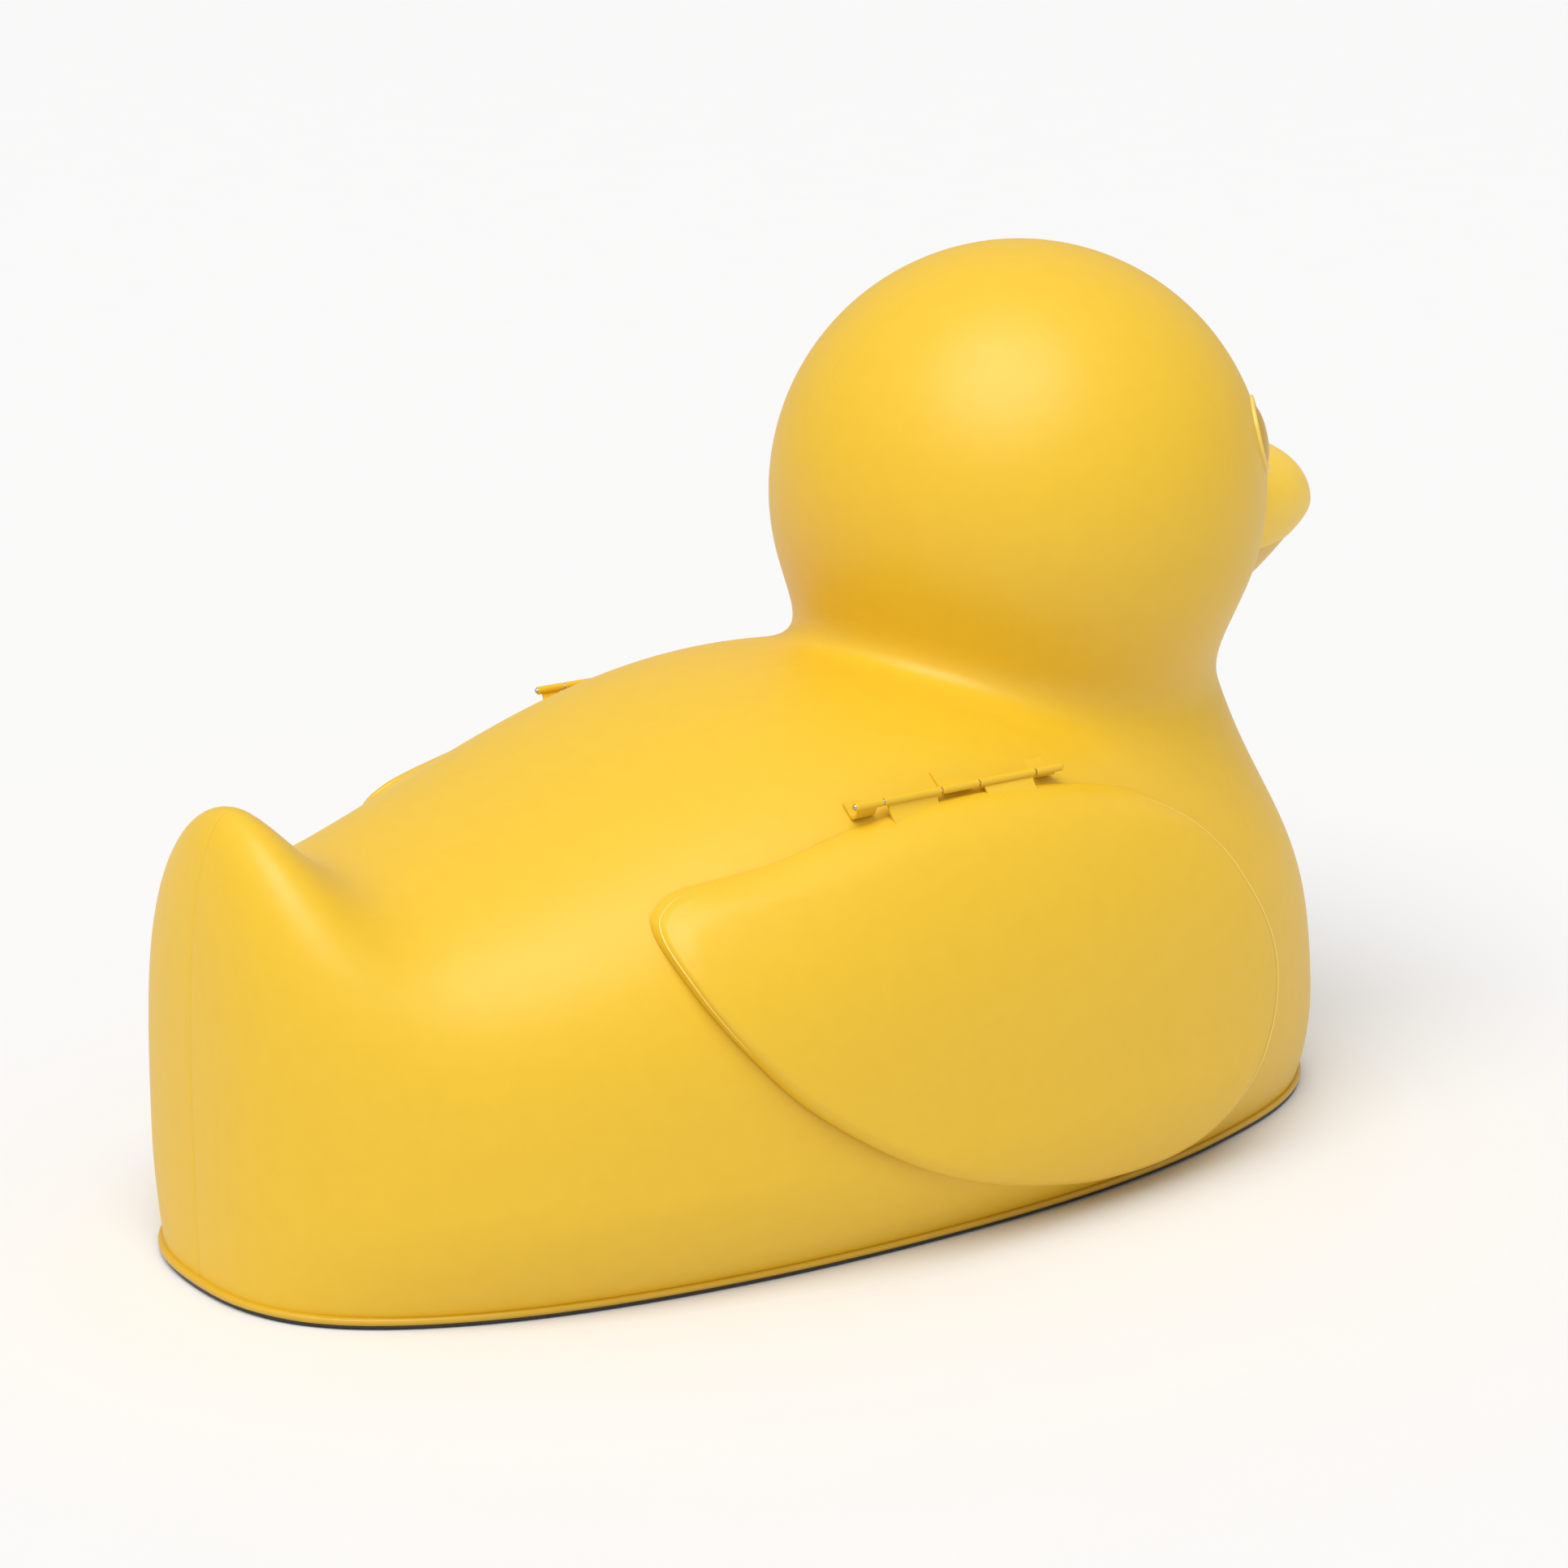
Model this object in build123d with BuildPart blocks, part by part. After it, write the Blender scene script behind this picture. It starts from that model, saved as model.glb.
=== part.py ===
"""Duck pedal boat: closed moulded shell over a flat hull with a paddle wheel, two seats and a rudder.

Millimetres. +X forward, +Y port, +Z up, origin at the middle of the footprint on the ground.
"""

import math
import os

from build123d import *

# ---- outside form -------------------------------------------------------
BODY_X = 70          # station of the widest section
BODY_FRONT = 1420    # from there to the chest
BODY_REAR = 1800     # and to the stern
BODY_HALF = 910      # half beam
PLAN_POWER = 2.1
BEAM_POWER = 2.68
PLAN_BLEND = 1.31
WALL_POWER = 4.85
BASE_FLARE = 0.85    # half beam at the base over half beam above the bilge
BILGE = 300          # height the bilge takes to reach full beam
CREST_X = (-1630, -1030, -230, 570, 1270)
CREST_Z = (1223, 1099, 1273, 1224, 1042)
CREST_FALL = 0.000192
TAIL_RISE = 500
TAIL_X = -1680
TAIL_LONG = 213
TAIL_WIDE = 600
NECK_X = 1072
NECK_Z = 202
NECK_R = 400
NECK_BLEND = 348
HEAD_X = 735
HEAD_Z = 1642
HEAD_R = 650
HEAD_BLEND = 111

# ---- moulding -----------------------------------------------------------
WALL = 24            # foam-cored skin
NECK_CUT = 1340      # joint plane between body and head
NECK_FLANGE = 12
NECK_IN = 500        # inner radius of the neck flanges
NECK_BOLT_R = 524
NECK_BOLTS = 12
SPOKES = 48          # points round each ring of the skin
RINGS = 28           # rings from the base to the neck

# ---- base ---------------------------------------------------------------
STRIP_TOP = 6        # rubbing strip under the lip
LIP_TOP = 28
LIP_OUT = 12
FLOOR_TOP = 100
FLOOR_THICK = 12
FLOOR_X0 = -640
FLOOR_X1 = 900
FLOOR_Y = 620

# ---- tunnel -------------------------------------------------------------
TUNNEL_HALF = 150
TUNNEL_WALL = 12
TUNNEL_Z = 300
TUNNEL_AFT = -1150
TUNNEL_END = -1400
ARCH_R = 370

# ---- drive --------------------------------------------------------------
CRANK_X = 620
CRANK_Z = 420
SHAFT_R = 15
PIN_R = 10
THROW = 130
WEB = 14
WEB_A = 205          # inner face of the innermost web
PEDAL_RUN = 130      # length of a pedal pin
BEARING_GAP = 0.05   # radial running clearance
WHEEL_R = 330
WHEEL_HALF = 120
HUB_R = 32
HUB_HALF = 110
SPIDER_R = 230
BLADES = 6
BLADE_THICK = 8
PEDAL_LONG = 90
PEDAL_THICK = 30
BOLT_R = 4

# ---- steering -----------------------------------------------------------
COLUMN_X = -150
COLUMN_R = 14
RUDDER_X = -1000
STOCK_R = 12
ARM = 90
ARM_Z = 336
ARM_THICK = 14
ROD_THICK = 12
ROD_PIN_R = 6
CONSOLE_TOP = 570
HANDLE_Z = 730

# ---- seats --------------------------------------------------------------
SEAT_Y = 390
SEAT_HALF = 200
SEAT_X0 = -330
SEAT_X1 = 130
SEAT_Z = 290
RAIL_H = 20

# ---- wing doors ---------------------------------------------------------
DOOR_GAP = 4         # door lining to shell
DOOR_OUT = 55        # relief of the wing
HINGE_Y = 700
HINGE_Z = 1110
HINGE_R = 14
HINGE_PIN_R = 6
LATCH_X = 130
LATCH_Z = 445
LATCH_R = 12
WING = [
    (281, 1071), (449, 1039), (592, 994), (720, 927), (842, 821), (939, 680), (992, 563),
    (1003, 453), (969, 333), (874, 204), (745, 110), (584, 70), (365, 70), (178, 100),
    (-89, 175), (-343, 297), (-563, 449), (-698, 586), (-796, 719), (-850, 835), (-856, 900),
    (-825, 936), (-764, 963), (-634, 985), (-513, 1006), (-308, 1054), (-115, 1079), (57, 1086),
]
APERTURE = [(-400, 400), (640, 400), (700, 680), (560, 930), (-400, 950)]
APERTURE_R = 110
TRIM = 10

# ---- lookout ------------------------------------------------------------
LOOKOUT_HALF = 300
LOOKOUT_Z0 = 620
LOOKOUT_Z1 = 880


def crest(x):
    """Height of the back above the keel line at station x (four-term fit through CREST)."""
    x = max(-1930, min(1570, x))
    total = 0.0
    for i, xi in enumerate(CREST_X):
        term = CREST_Z[i]
        for j, xj in enumerate(CREST_X):
            if i != j:
                term *= (x - xj) / (xi - xj)
        total += term
    return total


def body_g(x, y, z):
    """Superelliptic body: below zero inside."""
    z = max(z, 0.0)
    low = max(0.0, (BILGE - z) / BILGE) ** 2
    half = BODY_HALF * (1 - (1 - BASE_FLARE) * low)
    run = x - BODY_X
    length = BODY_FRONT if run > 0 else BODY_REAR
    plan = abs(run / length) ** PLAN_POWER + abs(y / half) ** BEAM_POWER
    tail = math.exp(-(((x - TAIL_X) / TAIL_LONG) ** 2) - abs(y / TAIL_WIDE) ** 1.6)
    top = max(crest(x) - CREST_FALL * y * y, 300) + TAIL_RISE * tail
    return plan**PLAN_BLEND + (z / top) ** WALL_POWER - 1


def body(x, y, z):
    """Body distance, to first order."""
    g = body_g(x, y, z)
    e = 0.5
    gx = (body_g(x + e, y, z) - body_g(x - e, y, z)) / (2 * e)
    gy = (body_g(x, y + e, z) - body_g(x, y - e, z)) / (2 * e)
    gz = (body_g(x, y, z + e) - body_g(x, y, z - e)) / (2 * e)
    return g / max(math.sqrt(gx * gx + gy * gy + gz * gz), 2e-4)


def neck(x, y, z):
    """Distance to the leaning neck post."""
    ax, az = HEAD_X - NECK_X, HEAD_Z - NECK_Z
    t = ((x - NECK_X) * ax + (z - NECK_Z) * az) / (ax * ax + az * az)
    t = max(0.0, min(1.0, t))
    return math.sqrt((x - NECK_X - ax * t) ** 2 + y * y + (z - NECK_Z - az * t) ** 2) - NECK_R


def blend(a, b, k):
    """Smooth minimum of two distances over width k."""
    h = max(k - abs(a - b), 0.0) / k
    return min(a, b) - h * h * k / 4


def skin(x, y, z):
    """Signed distance to the moulded skin."""
    head = math.sqrt((x - HEAD_X) ** 2 + y * y + (z - HEAD_Z) ** 2) - HEAD_R
    return blend(blend(body(x, y, z), neck(x, y, z), NECK_BLEND), head, HEAD_BLEND)


def base_radius(angle, level, z=0.0):
    """Distance from the neck axis to the skin at height z, by bisection."""
    low, high = 200.0, 2900.0
    for _ in range(40):
        mid = (low + high) / 2
        x, y = HEAD_X + mid * math.cos(angle), mid * math.sin(angle)
        low, high = (mid, high) if skin(x, y, z) < level else (low, mid)
    return (low + high) / 2


def meridian(angle, level):
    """Follow the skin up from the base to the neck in the half plane at this angle."""
    c, s = math.cos(angle), math.sin(angle)

    def f(r, z):
        return skin(HEAD_X + r * c, r * s, z) - level

    r, z = base_radius(angle, level), 0.0
    path = [(r, z)]
    step = 12.0
    for _ in range(900):
        fr = (f(r + 1, z) - f(r - 1, z)) / 2
        fz = (f(r, z + 1) - f(r, z - 1)) / 2
        size = math.hypot(fr, fz)
        r, z = r - step * fz / size, z + step * fr / size
        for _ in range(2):
            v = f(r, z)
            fr = (f(r + 1, z) - f(r - 1, z)) / 2
            fz = (f(r, z + 1) - f(r, z - 1)) / 2
            size = fr * fr + fz * fz
            r, z = r - v * fr / size, z - v * fz / size
        path.append((r, z))
        if z >= NECK_CUT:
            break
    (r0, z0), (r1, z1) = path[-2], path[-1]
    t = (NECK_CUT - z0) / (z1 - z0)
    path[-1] = (r0 + (r1 - r0) * t, float(NECK_CUT))
    return path


def spread(path, count):
    """Points at even arc length along a path, ends kept."""
    run = [0.0]
    for (r0, z0), (r1, z1) in zip(path, path[1:]):
        run.append(run[-1] + math.hypot(r1 - r0, z1 - z0))
    out, k = [], 0
    for i in range(count):
        want = run[-1] * i / (count - 1)
        while k < len(run) - 2 and run[k + 1] < want:
            k += 1
        t = (want - run[k]) / (run[k + 1] - run[k])
        (r0, z0), (r1, z1) = path[k], path[k + 1]
        out.append((r0 + (r1 - r0) * t, z0 + (z1 - z0) * t))
    return out


def skin_solid(level):
    """Solid inside the skin moved outward by level, from the base plane to the neck joint."""
    half = SPOKES // 2
    rows = [spread(meridian(math.pi * i / half, level), RINGS) for i in range(half + 1)]
    even = [i / SPOKES for i in range(SPOKES + 1)]
    wires = []
    for j in range(RINGS):
        points = []
        for i in range(SPOKES):
            r, z = rows[i if i <= half else SPOKES - i][j]
            angle = 2 * math.pi * i / SPOKES
            if j in (0, RINGS - 1):
                z = 0.0 if j == 0 else float(NECK_CUT)
            points.append((HEAD_X + r * math.cos(angle), r * math.sin(angle), z))
        wires.append(Wire([Edge.make_spline(points, periodic=True, parameters=even)]))
    return Solid.make_loft(wires)


def outline(level, z):
    """Closed plan outline of the skin at height z, moved outward by level."""
    points = []
    for i in range(SPOKES):
        angle = 2 * math.pi * i / SPOKES
        r = base_radius(math.pi * 2 - angle if i > SPOKES // 2 else angle, level, z)
        points.append((HEAD_X + r * math.cos(angle), r * math.sin(angle)))
    return points


def save(part, name):
    """One STEP file per node."""
    part.label = name
    export_step(part, f"parts/{name}.step")


def both(part, name):
    """Save a port part and its mirror image."""
    save(part, f"{name}_port")
    save(mirror(part, about=Plane.XZ), f"{name}_starboard")


def clear_of_skin(part):
    """Port half of a centred part with the skin taken out, joined to its mirror image."""
    with BuildPart() as half:
        add(part)
        add(OUTER, mode=Mode.SUBTRACT)
        with Locations((0, 1500, 1200)):
            Box(5000, 3000, 5000, mode=Mode.INTERSECT)
        add(mirror(half.part, about=Plane.XZ))
    return half.part


def bolt(x, y, z, axis, long, head=3.0):
    """Hex-headed bolt: head seated at the point, shank running along axis."""
    plane = Plane(origin=(x, y, z), z_dir=axis)
    with BuildPart(plane) as b:
        Cylinder(BOLT_R, long, align=(Align.CENTER, Align.CENTER, Align.MIN))
        with BuildSketch(plane):
            RegularPolygon(BOLT_R * 1.8, 6)
        extrude(amount=-head * 1.7)
    return b.part


# ======================= shared solids ==================================
OUTER = skin_solid(0)
WALLS = OUTER - skin_solid(-WALL)


def aperture_prism(grow, y0=300, y1=1100):
    """Doorway outline through the port side, moved outward by grow."""
    with BuildPart() as prism:
        with BuildSketch(Plane.XZ):
            with BuildLine():
                Polyline(*APERTURE, close=True)
            make_face()
            fillet(vertices(), APERTURE_R)
            if grow:
                offset(amount=grow, kind=Kind.ARC)
        extrude(amount=-y1)
        Box(4000, 2 * y0, 4000, mode=Mode.SUBTRACT)
    return prism.part


def lookout_prism(grow):
    """Bow opening outline, moved outward by grow."""
    with BuildPart() as prism:
        with BuildSketch(Plane.YZ.offset(1000)):
            with Locations((0, (LOOKOUT_Z0 + LOOKOUT_Z1) / 2)):
                RectangleRounded(
                    2 * (LOOKOUT_HALF + grow), LOOKOUT_Z1 - LOOKOUT_Z0 + 2 * grow, 90 + grow
                )
        extrude(amount=800)
    return prism.part


def flange():
    """Inward ring at the top of the body, drilled for the neck bolts."""
    with BuildPart() as ring:
        with Locations((HEAD_X, 0, NECK_CUT)):
            Cylinder(556, NECK_FLANGE, align=(Align.CENTER, Align.CENTER, Align.MAX))
            Cylinder(NECK_IN, 60, mode=Mode.SUBTRACT)
            with PolarLocations(NECK_BOLT_R, NECK_BOLTS, start_angle=15):
                Cylinder(BOLT_R + 0.25, 80, mode=Mode.SUBTRACT)
    return ring.part


def moulding():
    """Body skin with the doorways, the bow opening and the neck flange."""
    door = aperture_prism(0)
    with BuildPart() as skin_wall:
        add(WALLS)
        Box(5000, 4000, 2 * LIP_TOP, mode=Mode.SUBTRACT)
        add(door, mode=Mode.SUBTRACT)
        add(mirror(door, about=Plane.XZ), mode=Mode.SUBTRACT)
        add(lookout_prism(0), mode=Mode.SUBTRACT)
        add(flange())
    return skin_wall.part


def halves(part, name):
    """Split a moulding on the centre plane and save the port side and its mirror image."""
    with BuildPart() as half:
        add(part)
        with Locations((0, 1500, 1200)):
            Box(5000, 3000, 5000, mode=Mode.INTERSECT)
    both(half.part, name)


def trims():
    """Edge linings of the doorways and of the bow opening."""
    for sign in (1, -1):
        ring = aperture_prism(0)
        hole = aperture_prism(-TRIM)
        if sign < 0:
            ring, hole = mirror(ring, about=Plane.XZ), mirror(hole, about=Plane.XZ)
        with BuildPart() as trim:
            add(WALLS)
            add(ring, mode=Mode.INTERSECT)
            add(hole, mode=Mode.SUBTRACT)
        save(trim.part, "door_trim_port" if sign > 0 else "door_trim_starboard")
    with BuildPart() as look:
        add(WALLS)
        add(lookout_prism(0), mode=Mode.INTERSECT)
        add(lookout_prism(-TRIM), mode=Mode.SUBTRACT)
    save(look.part, "lookout_trim")


def head():
    """Head shell in two halves on the neck flange."""
    with BuildPart() as ball:
        with Locations((HEAD_X, 0, HEAD_Z)):
            Sphere(HEAD_R)
            Sphere(HEAD_R - WALL, mode=Mode.SUBTRACT)
        with Locations((HEAD_X, 0, NECK_CUT)):
            Cylinder(556, NECK_FLANGE, align=(Align.CENTER, Align.CENTER, Align.MIN))
            Cylinder(NECK_IN, 60, mode=Mode.SUBTRACT)
            with PolarLocations(NECK_BOLT_R, NECK_BOLTS, start_angle=15):
                Cylinder(BOLT_R + 0.25, 80, mode=Mode.SUBTRACT)
            Box(1600, 1600, 800, align=(Align.CENTER, Align.CENTER, Align.MAX), mode=Mode.SUBTRACT)
    halves(ball.part, "head")


def neck_ring():
    """Backing hoop under the neck flange and its bolts."""
    with BuildPart() as hoop:
        with Locations((HEAD_X, 0, NECK_CUT - NECK_FLANGE)):
            Cylinder(532, 8, align=(Align.CENTER, Align.CENTER, Align.MAX))
            Cylinder(NECK_IN, 60, mode=Mode.SUBTRACT)
            with PolarLocations(NECK_BOLT_R, NECK_BOLTS, start_angle=15):
                Cylinder(BOLT_R + 0.25, 80, mode=Mode.SUBTRACT)
    save(hoop.part, "neck_ring")
    with BuildPart() as bolts:
        for i in range(NECK_BOLTS):
            angle = math.radians(15 + 360 * i / NECK_BOLTS)
            x = HEAD_X + NECK_BOLT_R * math.cos(angle)
            y = NECK_BOLT_R * math.sin(angle)
            add(bolt(x, y, NECK_CUT + NECK_FLANGE, (0, 0, -1), 2 * NECK_FLANGE + 14))
    save(bolts.part, "neck_bolts")


def bill():
    """Upper and lower bill on the front of the head."""
    for name, x, z, radii, low in (
        ("bill_upper", 1330, 1545, (410, 290, 180), False),
        ("bill_lower", 1290, 1470, (320, 255, 190), True),
    ):
        form = scale(Solid.make_sphere(1), by=radii).moved(Location((x, 0, z)))
        with BuildPart() as half:
            add(form)
            with Locations((x, 0, 1456)):
                Box(
                    1400, 900, 600, align=(Align.CENTER, Align.CENTER, Align.MIN if low else Align.MAX),
                    mode=Mode.SUBTRACT,
                )
            with Locations((HEAD_X, 0, HEAD_Z)):
                Sphere(HEAD_R, mode=Mode.SUBTRACT)
        save(clear_of_skin(half.part) if low else half.part, name)


def eyes():
    """Eye and raised rim, each side."""
    d = Vector(0.724, 0.647, 0.242).normalized()
    place = Plane(origin=(HEAD_X, 0, HEAD_Z), z_dir=(d.X, d.Y, d.Z))
    with BuildPart(place) as rim:
        Cylinder(106, 672, align=(Align.CENTER, Align.CENTER, Align.MIN))
        Cylinder(86, 700, align=(Align.CENTER, Align.CENTER, Align.MIN), mode=Mode.SUBTRACT)
        Sphere(HEAD_R, mode=Mode.SUBTRACT)
        fillet(rim.edges().group_by(SortBy.LENGTH)[-1], 5)
    both(rim.part, "eye_rim")
    with BuildPart(place) as eye:
        with Locations((0, 0, 592)):
            Sphere(112)
        Cylinder(86, 900, align=(Align.CENTER, Align.CENTER, Align.MIN), mode=Mode.INTERSECT)
        Sphere(HEAD_R, mode=Mode.SUBTRACT)
    both(eye.part, "eye")


def tunnel(grow):
    """Side profile of the wheel arch and the rudder channel, moved outward by grow."""
    r = ARCH_R + grow
    top = TUNNEL_Z + grow
    with BuildPart() as t:
        with BuildSketch(Plane.XZ):
            with Locations((CRANK_X, CRANK_Z)):
                Circle(r)
            with Locations((CRANK_X, CRANK_Z / 2)):
                Rectangle(2 * r, CRANK_Z)
            with BuildLine():
                Polyline(
                    (CRANK_X, -20), (CRANK_X, top), (TUNNEL_AFT - grow / 2, top),
                    (TUNNEL_END - grow, STRIP_TOP), (TUNNEL_END - grow, -20), close=True,
                )
            make_face()
        extrude(amount=TUNNEL_HALF + grow, both=True)
    return t.part


def hull():
    """Flat bottom pan with the rounded lip and the tunnel, and the strip under the lip."""
    with BuildPart() as pan:
        with BuildSketch(Plane.XY.offset(STRIP_TOP)):
            with BuildLine():
                Spline(*outline(LIP_OUT, 15), periodic=True)
            make_face()
        extrude(amount=LIP_TOP - STRIP_TOP)
        add(tunnel(TUNNEL_WALL))
        add(tunnel(0), mode=Mode.SUBTRACT)
        with Locations((0, 0, STRIP_TOP)):
            Box(5000, 3000, 100, align=(Align.CENTER, Align.CENTER, Align.MAX), mode=Mode.SUBTRACT)
        with Locations((CRANK_X, 0, CRANK_Z)):
            Cylinder(SHAFT_R + 8, 600, rotation=(90, 0, 0), mode=Mode.SUBTRACT)
            for dx in (-30, 30):
                for dz in (-30, 30):
                    with Locations((dx, 0, dz)):
                        Cylinder(BOLT_R + 0.25, 600, rotation=(90, 0, 0), mode=Mode.SUBTRACT)
        with Locations((RUDDER_X, 0, TUNNEL_Z)):
            Cylinder(22, 60, mode=Mode.SUBTRACT)
        with Locations((-1520, 0, LIP_TOP)):
            Cylinder(15, 80, mode=Mode.SUBTRACT)
    save(pan.part, "hull_pan")
    with BuildPart() as strip:
        with BuildSketch():
            with BuildLine():
                Spline(*outline(2, 10), periodic=True)
            make_face()
            with BuildLine():
                Spline(*outline(-40, 10), periodic=True)
            make_face(mode=Mode.SUBTRACT)
        extrude(amount=STRIP_TOP)
    save(strip.part, "base_strip")
    with BuildPart() as plug:
        with Locations((-1520, 0, STRIP_TOP)):
            Cylinder(15, LIP_TOP - STRIP_TOP, align=(Align.CENTER, Align.CENTER, Align.MIN))
        with Locations((-1520, 0, LIP_TOP)):
            Cylinder(22, 8, align=(Align.CENTER, Align.CENTER, Align.MIN))
            with Locations((0, 0, 8)):
                Box(30, 6, 10, align=(Align.CENTER, Align.CENTER, Align.MIN))
    save(plug.part, "drain_plug")


def inside():
    """Floor boards on battens, buoyancy blocks and the console."""
    with BuildPart() as board:
        mid = (FLOOR_X0 + FLOOR_X1) / 2
        with Locations((mid, (TUNNEL_HALF + TUNNEL_WALL + FLOOR_Y) / 2, FLOOR_TOP)):
            wide = FLOOR_Y - TUNNEL_HALF - TUNNEL_WALL
            Box(FLOOR_X1 - FLOOR_X0, wide, FLOOR_THICK, align=(Align.CENTER, Align.CENTER, Align.MAX))
        with Locations(*((x, 390, LIP_TOP) for x in (-560, 130, 820))):
            Box(60, 400, FLOOR_TOP - LIP_TOP, align=(Align.CENTER, Align.CENTER, Align.MIN))
        for x in (CRANK_X - 45, CRANK_X + 45):
            with Locations((x, 575, FLOOR_TOP)):
                Cylinder(BOLT_R + 0.25, 60, mode=Mode.SUBTRACT)
    both(board.part, "floor")
    with BuildPart() as foam:
        with Locations((-1165, 305, LIP_TOP)):
            Box(430, 250, 370, align=(Align.CENTER, Align.CENTER, Align.MIN))
            fillet(foam.edges().filter_by(Axis.Z), 40)
    both(foam.part, "foam")
    roof = TUNNEL_Z + TUNNEL_WALL
    with BuildPart() as console:
        with Locations((-140, 0, roof)):
            Box(660, 324, CONSOLE_TOP - roof, align=(Align.CENTER, Align.CENTER, Align.MIN))
            fillet(console.edges().filter_by(Axis.X).group_by(Axis.Z)[-1], 40)
            Box(
                680, 300, CONSOLE_TOP - roof - 12, align=(Align.CENTER, Align.CENTER, Align.MIN),
                mode=Mode.SUBTRACT,
            )
        with Locations((COLUMN_X, 0, CONSOLE_TOP)):
            Cylinder(22, 80, mode=Mode.SUBTRACT)
    save(console.part, "console")


def crank():
    """Four-throw crankshaft: each rider's two pins are half a turn apart."""
    first = WEB_A + WEB
    second = first + PEDAL_RUN
    third = second + WEB
    fourth = third + PEDAL_RUN
    end = fourth + WEB + 68
    with BuildPart() as shaft:
        with Locations((CRANK_X, 0, CRANK_Z)):
            Cylinder(SHAFT_R, 2 * WEB_A, rotation=(90, 0, 0))
        for s in (1, -1):
            for a, b, r, dz in (
                (first - WEB, second + WEB, PIN_R, THROW),
                (second, fourth + WEB, PIN_R, -THROW),
                (fourth, end, SHAFT_R, 0),
            ):
                with Locations((CRANK_X, s * (a + b) / 2, CRANK_Z + dz)):
                    Cylinder(r, b - a, rotation=(90, 0, 0))
            for y0, z0, z1 in ((WEB_A, 0, THROW), (second, -THROW, THROW), (fourth, -THROW, 0)):
                with BuildSketch(Plane.XZ.offset(-s * (y0 + WEB / 2))):
                    with Locations((CRANK_X, CRANK_Z + (z0 + z1) / 2)):
                        SlotCenterToCenter(z1 - z0, 40, rotation=90)
                extrude(amount=WEB / 2, both=True)
        with Locations((CRANK_X, 60, CRANK_Z)):
            Cylinder(BOLT_R, 200, mode=Mode.SUBTRACT)
    save(shaft.part, "crankshaft")


def pedals():
    """Foot pads turning on the crank pins."""
    first = WEB_A + WEB
    for name, y0, dz in (
        ("pedal_inner", first, THROW),
        ("pedal_outer", first + PEDAL_RUN + WEB, -THROW),
    ):
        with BuildPart() as pad:
            with Locations((CRANK_X, y0 + PEDAL_RUN / 2, CRANK_Z + dz)):
                Box(PEDAL_LONG, PEDAL_RUN - 4, PEDAL_THICK)
                fillet(pad.edges().filter_by(Axis.Y), 8)
                with Locations(*((x, 0, PEDAL_THICK / 2) for x in (-28, -10, 10, 28))):
                    Box(6, PEDAL_RUN - 20, 4, mode=Mode.SUBTRACT)
                Cylinder(PIN_R + BEARING_GAP, PEDAL_RUN, rotation=(90, 0, 0), mode=Mode.SUBTRACT)
        both(pad.part, name)


def bearings():
    """Flanged bearings on the tunnel walls, pedestal bearings outboard, and their bolts."""
    wall = TUNNEL_HALF + TUNNEL_WALL
    with BuildPart() as flanged:
        with Locations((CRANK_X, wall + 6, CRANK_Z)):
            Box(90, 12, 90)
            fillet(flanged.edges().filter_by(Axis.Y), 18)
        with Locations((CRANK_X, wall + 17, CRANK_Z)):
            Cylinder(28, 34, rotation=(90, 0, 0))
            Cylinder(SHAFT_R + BEARING_GAP, 80, rotation=(90, 0, 0), mode=Mode.SUBTRACT)
            for dx in (-30, 30):
                for dz in (-30, 30):
                    with Locations((dx, 0, dz)):
                        Cylinder(BOLT_R + 0.25, 80, rotation=(90, 0, 0), mode=Mode.SUBTRACT)
    both(flanged.part, "bearing_inner")
    with BuildPart() as stand:
        with Locations((CRANK_X, 555, FLOOR_TOP)):
            Box(130, 70, 12, align=(Align.CENTER, Align.CENTER, Align.MIN))
            Box(60, 24, CRANK_Z - FLOOR_TOP, align=(Align.CENTER, Align.CENTER, Align.MIN))
        with Locations((CRANK_X, 555, CRANK_Z)):
            Cylinder(34, 36, rotation=(90, 0, 0))
            Cylinder(SHAFT_R + BEARING_GAP, 80, rotation=(90, 0, 0), mode=Mode.SUBTRACT)
        for x in (CRANK_X - 45, CRANK_X + 45):
            with Locations((x, 575, FLOOR_TOP)):
                Cylinder(BOLT_R + 0.25, 60, mode=Mode.SUBTRACT)
    both(stand.part, "bearing_outer")
    with BuildPart() as bolts:
        for s in (1, -1):
            for dx in (-30, 30):
                for dz in (-30, 30):
                    spot = (CRANK_X + dx, s * (wall + 12), CRANK_Z + dz)
                    add(bolt(*spot, (0, -s, 0), 28))
            for dx in (-45, 45):
                add(bolt(CRANK_X + dx, s * 575, FLOOR_TOP + 12, (0, 0, -1), 32))
    save(bolts.part, "bearing_bolts")


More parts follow.
